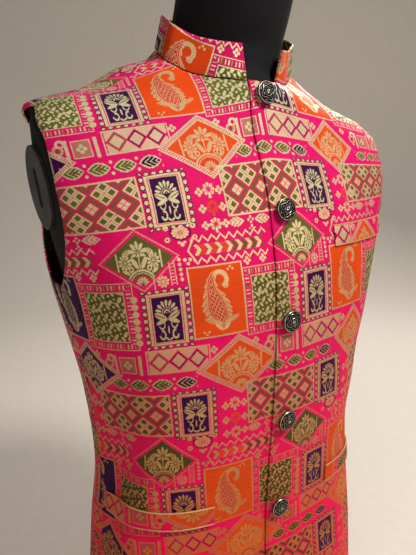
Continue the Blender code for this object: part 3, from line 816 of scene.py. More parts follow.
def button_relief(radius, angle):
    """The carving from 0, a hollow, to 1, a ridge, at a share of the radius."""
    rim = np.exp(-(((radius - 0.93) / 0.05) ** 2))
    ring = np.exp(-(((radius - 0.36) / 0.035) ** 2))
    boss = np.clip((0.24 - radius) / 0.06, 0.0, 1.0) * (0.75 + 0.25 * np.cos(6 * angle))
    wave = 0.64 + 0.11 * np.sin(4 * angle)
    stem = np.exp(-(((radius - wave) / 0.035) ** 2))
    leaf_middle = 0.64 - 0.13 * np.sin(4 * angle)
    leaf = np.exp(-(((radius - leaf_middle) / 0.085) ** 2))
    leaf = leaf * np.clip(np.abs(np.sin(4 * angle)) * 1.6 - 0.55, 0.0, 1.0)
    veins = 0.6 + 0.4 * np.cos(30 * angle + 22 * radius)
    dots = np.exp(-(((radius - 0.80) / 0.03) ** 2)) * np.clip(np.cos(24 * angle), 0.0, 1.0)
    middle = np.maximum(stem, np.maximum(leaf * veins, dots * 0.8))
    return np.clip(np.maximum(np.maximum(rim, ring), np.maximum(boss, middle)), 0.0, 1.0)


def button_grid():
    """Points of a button that faces +Z, ring by ring from the shank to the middle."""
    angles = np.linspace(0.0, 2 * math.pi, BUTTON_STEPS, endpoint=False)
    rings = [(share, np.full_like(angles, z), np.full_like(angles, 0.5)) for share, z in BUTTON_BACK]
    for share in np.concatenate([[0.985, 0.965], np.linspace(0.94, 0.02, 44)]):
        cut = button_relief(share, angles)
        dome = EDGE_HEIGHT + (DOME_HEIGHT - EDGE_HEIGHT) * math.sqrt(max(0.0, 1 - share**2))
        rings.append((share, dome + RELIEF_DEPTH * (cut - 0.6) * min(1.0, (1.0 - share) * 20), cut))
    across = [share * BUTTON_RADIUS * np.cos(angles) for share, _z, _cut in rings]
    along = [share * BUTTON_RADIUS * np.sin(angles) for share, _z, _cut in rings]
    points = np.stack([across, along, [z for _share, z, _cut in rings]], -1)
    return points, np.array([cut for _share, _z, cut in rings])


def make_button(index):
    height = BUTTON_TOP - BUTTON_SPACING * index
    turn = turn_at_x(BUTTON_ACROSS, height)
    lift = CLOTH_WALL + LAP_GAP + BUTTON_GAP
    seat = surface_point(turn, height, lift)
    face = surface_point(turn, height, lift + 0.01)
    grid, relief = button_grid()
    turned = Vector(face - seat).to_track_quat("Z", "Y").to_matrix()
    turned = turned @ Matrix.Rotation(BUTTON_TWIST * index, 3, "Z")
    points = grid.reshape(-1, 3) @ np.array(turned).T + seat
    made = ring_piece(f"button_{index + 1}_carved", points.reshape(grid.shape))
    store = made.data.attributes.new("relief", "FLOAT", "POINT")
    store.data.foreach_set("value", relief.astype(np.float32).ravel())
    stand_in(made, f"button_{index + 1}")
    return made


buttons = [make_button(index) for index in range(BUTTON_COUNT)]
print("buttons:", len(buttons), "of", len(buttons[0].data.polygons), "faces")

# %% [markdown]
# The dress form shows at the neck and in the arm openings. It is the figure again,
# drawn in under the cloth, without its folds and with closer rings than the CAD solid
# so that the neck shades smoothly. Its sides are cut flat where arms would fit.

# %% Dress form
ARM_FACE = 0.2010
ARM_FACE_HEIGHT = 0.585
ARM_FACE_SLOPE = 0.12
FORM_CLEAR = np.array([
    (0.000, 0.0100),
    (0.450, 0.0090),
    (0.560, 0.0090),
    (0.640, 0.0060),
    (0.655, 0.0038),
    (0.672, 0.0014),
    (0.690, 0.0013),
    (0.706, 0.0032),
    (0.800, 0.0032),
])
FORM_BACK_EASE = 0.0028
FORM_COLUMNS = 180


def face_middle(side):
    """Height of the middle of an arm cut on a figure whose shoulders tip."""
    share = float(smooth_step(LEAN_FROM, LEAN_FULL, ARM_FACE_HEIGHT))
    return ARM_FACE_HEIGHT - SHOULDER_TIP_SLOPE * side * ARM_FACE * share


def arm_face(side, z):
    """How far out the flat arm cut is at a height."""
    return ARM_FACE + ARM_FACE_SLOPE * (z - face_middle(side))


def form_point(turn, height):
    clear = monotone_curve(FORM_CLEAR[:, 0], FORM_CLEAR[:, 1], height)
    clear = clear + FORM_BACK_EASE * smooth_step(-0.1, 0.3, -np.cos(np.radians(turn)))
    return surface_point(turn, height, -(CLOTH_WALL + clear), folded=False)


def make_form():
    heights = np.concatenate([
        np.linspace(0.0, 0.50, 26),
        np.linspace(0.51, 0.65, 29),
        np.linspace(0.652, 0.73, 53),
        np.linspace(0.735, NECK_TOP, 17),
    ])
    turns = np.linspace(0.0, 360.0, FORM_COLUMNS, endpoint=False)
    signed = np.where(turns > 180, turns - 360, turns)
    rings = []
    for height in heights:
        ring = form_point(signed, height)
        if height == 0.0:
            ring[:, 2] = 0.0
        if height < SHOULDER_TIP:
            ring[:, 0] = np.maximum(ring[:, 0], -arm_face(-1, ring[:, 2]))
            ring[:, 0] = np.minimum(ring[:, 0], arm_face(1, ring[:, 2]))
        rings.append(ring)
    made = ring_piece("form_torso_smooth", np.stack(rings))
    stand_in(made, "form_torso")
    return made


torso = make_form()
print("form faces:", len(torso.data.polygons))

# %% [markdown]
# Plain studio: a wide pale floor that curves up behind, a large soft key light from the
# camera's upper right, a weaker fill from its left and a rim light that draws the dark neck.

# %% Studio
FLOOR_HALF = 3.0
FLOOR_BACK = 1.4
FLOOR_BEND = 0.8


def make_floor():
    """A floor that bends up into a back wall, as paper does in a studio."""
    direction = Vector((math.sin(CAMERA_YAW), math.cos(CAMERA_YAW), 0.0))
    across = Vector((math.cos(CAMERA_YAW), -math.sin(CAMERA_YAW), 0.0))
    profile = [(-FLOOR_HALF, 0.0), (FLOOR_BACK, 0.0)]
    for angle in np.linspace(0.0, math.pi / 2, 13)[1:]:
        profile.append((
            FLOOR_BACK + FLOOR_BEND * math.sin(angle),
            FLOOR_BEND * (1 - math.cos(angle)),
        ))
    profile.append((FLOOR_BACK + FLOOR_BEND, FLOOR_HALF))
    points = []
    for depth, z in profile:
        for side in (-FLOOR_HALF, FLOOR_HALF):
            points.append(direction * depth + across * side + Vector((0.0, 0.0, z)))
    faces = [[2 * i, 2 * i + 1, 2 * i + 3, 2 * i + 2] for i in range(len(profile) - 1)]
    made = mesh_piece("floor", points, faces)
    return made


def area_light(name, place, target, size, power, colour):
    data = bpy.data.lights.new(name, "AREA")
    data.shape = "DISK"
    data.size = size
    data.energy = power
    data.color = colour
    made = bpy.data.objects.new(name, data)
    made.location = place
    made.rotation_euler = (Vector(target) - Vector(place)).to_track_quat("-Z", "Y").to_euler()
    bpy.context.scene.collection.objects.link(made)
    return made


floor = make_floor()
area_light("key", (0.55, -1.15, 1.85), (0.0, -0.05, 0.55), 0.50, 38.0, (1.0, 0.96, 0.90))
area_light("fill", (-1.5, -1.1, 1.0), (0.0, 0.0, 0.45), 0.9, 7.0, (1.0, 0.90, 0.80))
area_light("rim", (1.2, 0.9, 1.4), (0.0, 0.0, 0.6), 0.8, 22.0, (1.0, 0.96, 0.92))
world = bpy.data.worlds.new("studio")
world.use_nodes = True
world.node_tree.nodes["Background"].inputs["Color"].default_value = (0.80, 0.78, 0.76, 1.0)
world.node_tree.nodes["Background"].inputs["Strength"].default_value = 0.14
bpy.context.scene.world = world
bpy.context.scene.view_settings.view_transform = "Standard"

# %% [markdown]
# The brocade is woven with coloured and gold threads in a patchwork of traditional
# panels: palmettes, lattices, diamonds with bouquets, paisleys and zigzags. Painting a
# picture of it would blur close up, so the pattern is drawn by rule instead. Every
# motif is a few sums on the place on the flat cloth, and each sum is one Math node.
# Writing hundreds of nodes by hand is hard to read, so a small class lets ordinary
# sums in the script add the nodes: a + b makes an Add node and returns its output.

# %% Sums that make nodes
class Wire:
    """A number that a material's nodes work out."""

    tree = None

    def __init__(self, socket):
        self.socket = socket

    def __add__(self, other):
        return math_node("ADD", self, other)

    def __radd__(self, other):
        return math_node("ADD", other, self)

    def __sub__(self, other):
        return math_node("SUBTRACT", self, other)

    def __rsub__(self, other):
        return math_node("SUBTRACT", other, self)

    def __mul__(self, other):
        return math_node("MULTIPLY", self, other)

    def __rmul__(self, other):
        return math_node("MULTIPLY", other, self)

    def __truediv__(self, other):
        return math_node("DIVIDE", self, other)

    def __abs__(self):
        return math_node("ABSOLUTE", self)


def add_node(kind, **settings):
    """A new node in the tree that is being made."""
    node = Wire.tree.nodes.new(kind)
    for name, value in settings.items():
        setattr(node, name, value)
    return node


def feed(socket, value):
    """Links a wire to a socket, or sets the socket to a fixed value."""
    if isinstance(value, Wire):
        Wire.tree.links.new(value.socket, socket)
    else:
        socket.default_value = value


def math_node(operation, *values, clamp=False):
    node = add_node("ShaderNodeMath", operation=operation, use_clamp=clamp)
    for socket, value in zip(node.inputs, values):
        feed(socket, value)
    return Wire(node.outputs[0])


def least(a, b):
    return math_node("MINIMUM", a, b)


def most(a, b):
    return math_node("MAXIMUM", a, b)


def above(a, b):
    """1 where a is greater than b, otherwise 0."""
    return math_node("GREATER_THAN", a, b)


def wrap(a, low, high):
    return math_node("WRAP", a, high, low)


def pingpong(a, limit):
    """Runs from 0 to the limit and back, over and over."""
    return math_node("PINGPONG", a, limit)


def sine(a):
    return math_node("SINE", a)


def math_floor(a):
    return math_node("FLOOR", a)


def angle_of(y, x):
    return math_node("ARCTAN2", y, x)


def length(x, y):
    """The distance of (x, y) from the origin."""
    pair = add_node("ShaderNodeCombineXYZ")
    feed(pair.inputs[0], x)
    feed(pair.inputs[1], y)
    node = add_node("ShaderNodeVectorMath", operation="LENGTH")
    Wire.tree.links.new(pair.outputs[0], node.inputs[0])
    return Wire(node.outputs["Value"])


def blend(a, b, share):
    """a where the share is 0 and b where it is 1."""
    node = add_node("ShaderNodeMix", data_type="FLOAT", clamp_factor=False)
    feed(node.inputs[0], share)
    feed(node.inputs[2], a)
    feed(node.inputs[3], b)
    return Wire(node.outputs[0])


def cover(edge, soft=0.4):
    """1 inside an edge and 0 outside it, softened over a thread's width in mm."""
    return math_node("MULTIPLY_ADD", edge, -1.0 / soft, 0.5, clamp=True)


def profile(a, places):
    """A smooth curve through a short list of places."""
    low, high = places[0][0], places[-1][0]
    least_value = min(value for _at, value in places)
    span = max(value for _at, value in places) - least_value
    node = add_node("ShaderNodeFloatCurve")
    points = node.mapping.curves[0].points
    while len(points) < len(places):
        points.new(0.5, 0.5)
    for point, (at, value) in zip(points, places):
        point.location = ((at - low) / (high - low), (value - least_value) / span)
        point.handle_type = "AUTO_CLAMPED"
    node.mapping.update()
    share = math_node("MULTIPLY_ADD", a, 1 / (high - low), -low / (high - low), clamp=True)
    feed(node.inputs["Value"], share)
    return math_node("MULTIPLY_ADD", Wire(node.outputs[0]), span, least_value)


# %% [markdown]
# The pattern repeats every 170 mm across and 212.5 mm up. Its motifs are placed by
# their middles, in millimetres. A shape is told by the distance from its edge, less
# than 0 inside: the smaller of two distances joins two shapes, the larger one keeps
# what both share. Petals come from the sine of an angle, leaves from squeezed circles.

# %% Places and simple shapes of the pattern
REPEAT_ACROSS = 170.0
REPEAT_UP = 212.5


def local(x, y, centre_x, centre_y):
    """Coordinates from a motif's own middle, in the nearest repeat."""
    half_x = REPEAT_ACROSS / 2
    half_y = REPEAT_UP / 2
    return wrap(x - centre_x, -half_x, half_x), wrap(y - centre_y, -half_y, half_y)


def nearer_twin(x, y, first, second):
    """Coordinates and half sizes of the nearer of two motifs of one kind."""
    x1, y1 = local(x, y, first[0], first[1])
    x2, y2 = local(x, y, second[0], second[1])
    pick = above(abs(y1), REPEAT_UP / 4)
    half_x = pick * (second[2] - first[2]) + first[2]
    half_y = pick * (second[3] - first[3]) + first[3]
    return blend(x1, x2, pick), blend(y1, y2, pick), half_x, half_y, pick


def box_edge(x, y, half_x, half_y):
    """Distance outwards from the edge of a rectangle."""
    return most(abs(x) - half_x, abs(y) - half_y)


def leaf_edge(x, y, centre, slant, long, wide):
    """Distance from the edge of a slanting oval leaf."""
    u = x - centre[0]
    v = y - centre[1]
    level = math.cos(math.radians(slant))
    steep = math.sin(math.radians(slant))
    along = u * (level / long) + v * (steep / long)
    across = v * (level / wide) - u * (steep / wide)
    return length(along, across) * wide - wide


def veined_leaf(x, y, long, wide):
    """Edge and veins of a toothed leaf that lies along x."""
    edge = x * x * (wide / long ** 2) + abs(y) - wide
    edge = edge + pingpong(x + abs(y), 1.7) * 0.45
    veins = pingpong(abs(y) * 1.1 - x * 0.75, 1.9) - 0.5
    return edge, veins


def petals(x, y, count, radius, depth):
    """Edge of a round flower, its petals parted by thin lines."""
    reach = length(x, y)
    lobes = abs(sine(angle_of(x, y) * (count / 2) + math.pi / 2))
    parting = 1.6 - lobes * reach
    return most(reach - radius - lobes * depth, parting * 0.4), reach


def small_flower(x, y):
    """Edge of a four-petalled flower about 8 mm across."""
    a = abs(x)
    b = abs(y)
    return length(most(a, b) - 2.5, least(a, b)) - 1.65


def panel_column(x):
    """0, 1 or 2 for the column of the repeat: the woven panels differ a little."""
    return wrap(math_floor((x + 53.8) * (1 / REPEAT_ACROSS)), 0.0, 3.0)


print("repeat of the pattern:", REPEAT_ACROSS, "x", REPEAT_UP, "mm")

# %% [markdown]
# The palmette stands in the violet panels and the bouquet in the diamonds. Both are the
# same left and right, so most parts are drawn from the distance to the middle line.

# %% Palmette and bouquet
def palmette(s, t):
    """Gold of the palmette in a violet panel; s and t run from -1 to 1."""
    a = abs(s)
    fan_x = s * 0.70
    fan_y = t - 0.28
    reach = length(fan_x, fan_y)
    lobes = abs(sine(angle_of(fan_x, fan_y) * 7.5 + math.pi / 2))
    fan = most(reach - 0.40 - lobes * 0.18, (0.22 - lobes * reach) * 0.3)
    fan = most(fan, 0.29 - reach)
    tiers = most(pingpong(reach, 0.065) - 0.036, reach - 0.25)
    fan = most(least(fan, tiers), 0.0 - fan_y)
    upper = leaf_edge(a, t, (0.47, 0.15), 18.0, 0.44, 0.14)
    upper = most(upper, 0.022 - abs(t - 0.15 - (a - 0.47) * 0.32))
    lower = leaf_edge(a, t, (0.42, -0.07), -14.0, 0.40, 0.10)
    arc = abs(length(a - 0.44, t + 0.20) - 0.20) - 0.035
    arc = most(arc, least(t + 0.26, a - 0.50))
    turn = length(a - 0.46, t + 0.68)
    scroll = least(abs(turn - 0.19) - 0.05, length(a - 0.54, t + 0.62) - 0.05)
    scroll = most(scroll, least(a - 0.50, t + 0.70))
    bud = leaf_edge(a, t, (0.0, -0.46), 90.0, 0.17, 0.055)
    foot = leaf_edge(a, t, (0.13, -0.88), 24.0, 0.14, 0.05)
    shape = least(least(fan, least(upper, lower)), least(arc, scroll))
    return least(shape, least(bud, foot))


def bouquet(x, y):
    """Gold of the bouquet in a diamond of 36 by 22 mm, and its red half moon."""
    a = abs(x)
    bars = most(abs(a - 22.5) - 0.9, abs(y) - 7.4)
    tree, _reach = petals(x, y - 7.0, 9, 4.4, 5.0)
    tree = most(tree, 3.5 - y)
    bough = leaf_edge(a, y, (11.6, 7.2), -24.0, 5.0, 2.4)
    bough = most(bough, 0.5 - pingpong(a - y, 1.5))
    daisy, core = petals(a - 14.6, y + 0.6, 10, 4.2, 2.6)
    daisy = least(most(daisy, 1.9 - core), core - 1.3)
    stem = most(a - 0.55, abs(y - 1.0) - 7.0)
    bird = leaf_edge(a, y, (4.8, -1.6), 56.0, 5.6, 2.1)
    curl = abs(length(a - 9.4, y + 6.4) - 1.9) - 0.75
    tail = leaf_edge(a, y, (14.8, -8.6), 26.0, 3.8, 1.5)
    moon_reach = length(x * 0.85, y + 20.0)
    above_moon = 13.6 - moon_reach
    flowers = least(least(bars, tree), least(bough, daisy))
    flowers = least(flowers, least(least(stem, bird), least(curl, tail)))
    flowers = most(flowers, above_moon)
    moon = least(abs(moon_reach - 12.3) - 0.75, abs(moon_reach - 10.2) - 0.4)
    half_flower, _reach = petals(x, y + 20.0, 16, 5.4, 1.7)
    return least(flowers, least(moon, half_flower)), cover(moon_reach - 9.0)


# %% [markdown]
# Two violet panels and two large diamonds share the repeat. Each pair is one drawing,
# made at the nearer of its two places, so it costs few more nodes than a single one.

# %% Violet panels and large diamonds
def violet_panels(x, y):
    """Two tall violet panels with a palmette, in a frame of ringed beads."""
    upper = (-2.0, 0.5, 13.1, 20.6)
    lower = (-20.6, -109.4, 13.2, 22.0)
    px, py, half_x, half_y, _pick = nearer_twin(x, y, upper, lower)
    side = abs(px) - half_x
    top = (abs(py) - half_y) * 1.45
    edge = most(side, top)
    motif = most(palmette(px / half_x, py / half_y) * 15.0, edge + 0.8)
    upright = above(side, top)
    along = wrap(blend(px, py, upright), -3.5, 3.5)
    bead = length(along * (1 / 1.9), (edge - 7.2) * (1 / 1.8))
    ring = most(abs(bead - 1.35) * 1.9 - 0.55, 4.4 - edge)
    line = abs(edge - 0.55) - 0.45
    band = abs(edge - 3.2) - 1.3
    gold = least(least(motif, line), least(band, bead * 1.8 - 1.9))
    return cover(gold), most(cover(edge), cover(ring))


def diamonds(x, y):
    """A large orange and a large olive diamond, each with a bouquet."""
    orange_one = (49.0, 46.5, 38.6, 25.6)
    olive_one = (-38.6, -51.6, 31.5, 25.0)
    dx, dy, half_x, half_y, pick = nearer_twin(x, y, orange_one, olive_one)
    narrow = above(0.4, abs(panel_column(x) - 1.0)) * (1.0 - pick)
    dx = dx + narrow * 7.0
    half_x = half_x - narrow * 11.0
    reach_x = abs(dx) / half_x
    reach_y = abs(dy) / half_y
    edge = (reach_x + reach_y) * 17.5 - 17.5
    inside = cover(edge)
    shape, red = bouquet(dx / half_x * 36.0, dy / half_y * 22.0)
    dash = pingpong(reach_x - reach_y, 0.052) * 18.0 - 0.42
    rungs = most(abs(edge - 2.2) - 1.5, dash * -1.0)
    rails = least(abs(edge - 0.5) - 0.4, abs(edge - 3.9) - 0.45)
    dots = most(abs(edge - 2.6) - 0.65, dash)
    border = blend(least(rungs, rails), dots, pick)
    gold = most(cover(shape) * inside, cover(border))
    first = 1.0 - pick
    tint = red * inside * blend(0.2, 0.7, pick)
    return gold, inside * first, inside * pick, tint, cover(edge - 4.6) * first


# %% [markdown]
# The lattice holds diamonds in each other beside four small squares. The strip has three
# gold diamonds whose outlines change colour along it.

# %% Lattice and strip of diamonds
def lattice(x, y):
    """A lattice of diamonds: four small squares, and diamonds in each other."""
    lx, ly = local(x, y, 99.5, 2.0)
    wider = above(0.4, abs(panel_column(x) - 1.0)) * 6.0
    edge = box_edge(lx + wider, ly, wider + 42.8, 22.2)
    u = lx * (1 / 14.27)
    v = ly * (1 / 12.9)
    nested_u = wrap(u, -1.0, 1.0)
    nested_v = wrap(v, -1.0, 1.0)
    squares = above(abs(nested_u) + abs(nested_v), 1.0)
    cell_u = blend(nested_u, wrap(u, 0.0, 2.0) - 1.0, squares)
    cell_v = blend(nested_v, wrap(v, 0.0, 2.0) - 1.0, squares)
    p = abs(cell_u + cell_v)
    q = abs(cell_u - cell_v)
    rim = most(p, q)
    quarter = most(abs(p - 0.46), abs(q - 0.46))
    pale = most(quarter - 0.435, 0.26 - quarter)
    four = most(abs(p - 0.24), abs(q - 0.24)) - 0.205
    gold = cover(blend(four, pale, squares) * 9.0)
    band = abs(rim - 0.755) - 0.115
    olive = cover(blend(band, quarter - 0.26, squares) * 9.0)
    seams = cover(blend(0.5 - rim, 0.435 - quarter, squares) * 9.0)
    inside = cover(edge)
    frame = cover(abs(edge - 0.7) - 0.75)
    return most(gold * inside, frame), olive * inside, seams * (1.0 - olive) * inside


def bars(x, y):
    """A strip of three gold diamonds with coloured outlines."""
    bx, by = local(x, y, -14.0, 61.0)
    edge = box_edge(bx, by, 30.5, 11.8)
    step = wrap(bx + 0.5, -9.25, 9.25)
    reach = abs(step) * (1 / 9.25) + abs(by) * (1 / 9.6)
    row = abs(bx + 0.5) - 27.7
    core = most((reach - 0.74) * 8.0, row)
    ring = most(abs(reach - 0.83) * 8.0 - 0.72, row)
    corner = most((1.12 - reach) * 8.0, abs(bx) - 28.8)
    inside = cover(edge)
    gold = most(cover(least(core, corner)) * inside * 0.8, cover(abs(edge) - 0.55))
    outline = cover(ring) * inside
    first = above(-9.5, bx)
    return gold, outline * (1.0 - first), outline * first


# %% [markdown]
# The paisley's body follows a curved middle line with a width that changes along it, both
# given as a few points. The vine panel next to it repeats one small cell of leaves.

# %% Paisley and vine panels
PAISLEY_MIDDLE = (
    (-28.0, 2.0),
    (-20.0, 1.0),
    (-7.0, -2.5),
    (5.0, -4.5),
    (15.0, -7.0),
    (24.0, -4.5),
    (30.0, -1.0),
)
PAISLEY_WIDTH = (
    (-28.0, 1.0),
    (-24.0, 5.5),
    (-16.0, 13.0),
    (-7.0, 15.6),
    (3.0, 12.8),
    (12.0, 8.2),
    (20.0, 5.6),
    (26.0, 4.0),
    (30.0, 1.0),
)


def paisley(x, y):
    """The large paisley on its orange panel."""
    qx, qy = local(x, y, 31.2, -98.5)
    edge = box_edge(qx, qy, 27.9, 34.0)
    inside = cover(edge)
    middle = profile(qy, PAISLEY_MIDDLE)
    width = profile(qy, PAISLEY_WIDTH)
    side = abs(qx - middle)
    inner = side - width * 0.60
    leaflets = side - width + pingpong(qy + side * 0.9, 2.6) * 0.8
    partings = 0.55 - pingpong(qy + side * 0.9 + 2.6, 2.6)
    leaflets = most(most(leaflets, partings), 0.9 - inner)
    rim = abs(inner) - 0.5
    seam = abs(inner + 2.2) - 0.3
    net = least(pingpong(qy + side * 1.2, 2.7) - 0.5, pingpong(qy - side * 1.2, 2.7) - 0.5)
    filling = most(inner + 3.2, net)
    body = least(least(leaflets, rim), least(seam, filling))
    body = most(body, abs(qy - 1.5) - 27.0)
    hook = abs(length(qx - 2.8, qy - 20.2) - 7.2) - 2.3
    hook = most(most(hook, 16.0 - qy - qx * 0.25), -3.0 - qx)
    curl = abs(length(qx - 8.2, qy - 14.6) - 2.3) - 0.85
    foot_x = abs(qx - 2.0)
    wings = leaf_edge(foot_x, qy, (9.5, -19.5), 22.0, 9.5, 2.4)
    wings = most(wings, 0.35 - pingpong(foot_x * 0.7 - qy * 1.1, 1.5))
    buds = leaf_edge(foot_x, qy, (4.0, -25.5), 40.0, 5.0, 1.7)
    dot_x = abs(abs(qx) - 15.5)
    dots = least(length(dot_x - 2.6, abs(qy) - 28.8), length(dot_x, abs(qy) - 31.0)) - 1.2
    dots = most(dots, 0.0 - qx * qy)
    gold = least(least(body, hook), least(curl, least(wings, buds)))
    gold = most(cover(least(gold, dots)) * inside, cover(abs(edge) - 0.75))
    return gold, inside, cover(inner + 1.0) * inside * 0.5


def vine(x, y):
    """The olive panel with climbing vines, in a border of short dashes."""
    vx, vy = local(x, y, 90.0, -104.3)
    edge = box_edge(vx, vy, 21.2, 24.2)
    slant = vx * 0.55 + vy + sine(vx * 0.32 + vy * 0.10) * 3.0
    stem = pingpong(slant, 9.0) - 0.7
    cell_x = wrap(vx + vy * 0.35, -5.4, 5.4)
    cell_y = wrap(vy - vx * 0.25, -5.8, 5.8)
    leaves = least(
        leaf_edge(cell_x, cell_y, (1.4, 1.6), 40.0, 3.7, 1.7),
        leaf_edge(cell_x, cell_y, (-3.0, -2.2), -70.0, 2.9, 1.45),
    )
    berries = least(length(cell_x - 3.1, cell_y + 3.2) - 1.35, length(cell_x + 3.4, cell_y - 3.9) - 1.1)
    inside = cover(edge)
    plants = cover(least(least(stem, leaves), berries)) * inside
    upright = above(abs(vx) - 21.2, abs(vy) - 24.2)
    along = blend(vx, vy, upright)
    ticks = most(pingpong(along, 1.9) - 0.75, abs(edge - 5.0) - 2.3)
    ticks = cover(ticks)
    dark = above(pingpong(along + 0.4, 5.7), 3.9)
    lines = cover(least(abs(edge - 0.4) - 0.45, abs(edge - 9.0) - 0.4))
    return most(most(plants, lines), ticks * (1.0 - dark)), most(inside, ticks * dark)


# %% [markdown]
# These rows fill the bands between the panels. A row repeats because the place along it
# is wrapped round or folded back and forth, and a fold keeps both halves of a step alike.

# %% Zigzags, leaves and flowers
def zigzags(x, y):
    """Two zigzag lines with a row of arrowheads between them."""
    zx, zy = local(x, y, 52.0, -48.7)
    a = abs(zy)
    line = abs(a - 10.0 + (pingpong(zx, 4.65) - 2.3) * 1.1) - 1.1
    line = most(line, abs(zx) - 41.0)
    tip = abs(zx + 44.5 - a * 0.62) - 0.9
    tip = most(tip, most(a - 10.2, zx + 34.0))
    nose = zx + a * 0.8
    arrow = most(pingpong(nose, 2.75) - 2.0, most(a - 5.0, abs(zx + 1.0) - 37.0))
    arrow = cover(arrow)
    tinted = arrow * above(wrap(nose + 2.75, 0.0, 11.0), 5.5)
    right = above(nose, 4.0)
    gold = most(cover(least(line, tip)), arrow - tinted)
    return gold, tinted * (1.0 - right), tinted * right


def leaves_row(x, y):
    """A row of veined leaves, the last one violet, with dots between."""
    gx, gy = local(x, y, -43.8, 37.0)
    step = wrap(gx, 0.0, 23.4) - 11.7
    edge, veins = veined_leaf(step, gy, 10.8, 6.6)
    row = cover(abs(gx) - 46.0)
    fill = cover(edge) * row
    dots = length(abs(step) - 11.7, abs(gy) - 5.2) - 1.5
    gold = most(cover(most(edge, least(veins, -1.2 - edge))), cover(dots)) * row
    last = above(gx, 23.4)
    heart = cover(length(step - 1.5, gy) - 1.5) * row * (1.0 - last)
    return gold - gold * heart, fill * (1.0 - last), fill * last, heart * 0.7


def round_flowers(x, y):
    """The rosette under a violet panel and a column of blossoms beside it."""
    rx, ry = local(x, y, 3.4, -31.0)
    rosette, reach = petals(rx, ry * 1.45, 12, 7.0, 1.6)
    rosette = least(most(rosette, 1.9 - reach), reach - 1.1)
    ring = cover(abs(reach - 9.8) - 0.65)
    curls = abs(length(abs(rx) - 13.2, abs(ry) - 5.6) - 1.8) - 0.75
    foot = least(length(rx, ry + 11.0) - 2.0, length(abs(rx) - 2.8, ry + 9.2) - 1.3)
    bx, by = local(x, y, 40.3, -10.7)
    step = wrap(by, -8.15, 8.15)
    column = most(abs(by) - 24.0, abs(bx) - 8.2)
    blossom, reach = petals(bx, step, 8, 4.7, 1.7)
    blossom = most(blossom, 0.35 - abs(reach - 2.0))
    stalk = length(bx * 0.6, step + 7.1) - 1.0
    blossom = cover(most(least(blossom, stalk), column))
    orange = blossom * cover(abs(by) - 8.0)
    side = small_flower(abs(bx) - 10.6, wrap(by + 1.0, -7.8, 7.8))
    side = most(side, abs(by + 1.0) - 23.0)
    gold = least(least(rosette, side), least(curls, foot))
    return most(cover(gold), blossom - orange), orange, ring


# %% [markdown]
# The gaps hold small flowers, leaves, dots and a little ladder. They are placed one by
# one, each by its own middle.

# %% Small things between the panels
def small_things(x, y):
    """Small flowers, leaves, dots, discs and the little ladder in the gaps."""
    ax, ay = local(x, y, 75.9, -64.6)
    flowers = small_flower(abs(ax) - 9.2, ay)
    bx, by = local(x, y, 21.0, 67.0)
    flowers = least(flowers, small_flower(bx, by))
    cx, cy = local(x, y, 68.0, 68.0)
    flowers = least(flowers, small_flower(cx, cy))
    dx, dy = local(x, y, 78.8, -27.0)
    cross = small_flower(dx, wrap(dy, -4.3, 4.3)) + 0.35
    flowers = least(flowers, most(cross, abs(dy) - 8.6))
    ex, ey = local(x, y, 5.5, -56.5)
    trio = least(length(abs(ex) - 2.6, ey) - 1.7, length(ex, ey + 3.6) - 1.6)
    gx, gy = local(x, y, -49.3, -109.0)
    discs = most(length(gx, wrap(gy, -3.55, 3.55)) - 3.1, abs(gy) - 24.8)
    hx, hy = local(x, y, -2.7, -64.6)
    dots = most(length(hx, wrap(hy, -2.3, 2.3)) - 1.7, abs(hy) - 11.4)
    ix, iy = local(x, y, -10.3, -67.3)
    rungs = least(abs(abs(ix) - 2.4) - 0.4, most(pingpong(iy, 1.5) - 0.4, abs(ix) - 1.4))
    rungs = most(rungs, abs(iy) - 11.0)
    jx, jy = local(x, y, -20.4, -73.5)
    blossom, reach = petals(jx, jy, 9, 4.0, 1.7)
    blossom = least(most(blossom, 2.2 - reach), reach - 1.6)
    post = most(abs(jx + 8.0) - 0.4, abs(jy) - 7.0)
    kx, ky = local(x, y, 77.5, -27.4)
    leaf, veins = veined_leaf(abs(kx) - 15.0, ky, 9.6, 5.0)
    leaf = most(leaf, 0.0 - veins)
    red_leaf = cover(leaf) * above(kx, 0.0)
    mx, my = local(x, y, 84.0, 61.0)
    body = length(mx + 0.8, my + 1.4)
    hook = abs(length(mx - 2.6, my - 4.4) - 3.6) - 1.3
    hook = most(hook, 1.5 - my)
    foot = length(mx * 0.6, my + 8.0) - 1.2
    seed = cover(body - 2.7)
    gold = least(least(flowers, trio), least(discs, dots))
    gold = least(gold, least(least(rungs, blossom), least(post, leaf)))
    gold = least(gold, least(least(most(body - 5.2, 0.4 - abs(body - 3.6)), hook), foot))
    return cover(gold) * (1.0 - seed), most(seed, red_leaf * 0.45)


def small_square(x, y):
    """The little dusky square in its frame."""
    sx, sy = local(x, y, 105.0, 58.5)
    edge = box_edge(sx, sy, 7.4, 7.6)
    flower = small_flower(sx * 0.85, sy * 0.85)
    line = abs(edge - 0.9) - 0.5
    side_x = abs(sx) - 13.4
    tufts = most(length(side_x, pingpong(sy + 2.4, 2.4) - 1.2) - 1.7, abs(sy) - 10.5)
    inside = cover(edge)
    return most(cover(least(least(flower, line), tufts)), inside * 0.25), inside


# %% [markdown]
# Each motif gives the share of gold first and of its other inks after it, and where two
# motifs meet, the larger share counts. In one column of three the orange grounds of the
# diamonds and the paisley turn violet, so that the repeat isn't the same everywhere.

# %% All the inks together
FREE_MOTIFS = (
    (vine, ("gold", "olive")),
    (zigzags, ("gold", "orange", "olive")),
    (leaves_row, ("gold", "olive", "violet", "red")),
    (round_flowers, ("gold", "orange", "violet")),
    (small_things, ("gold", "red")),
)


def lay_over(inks, names, shares):
    """Adds the shares of a motif's inks to those that are there."""
    for name, share in zip(names, shares):
        inks[name] = most(inks[name], share)


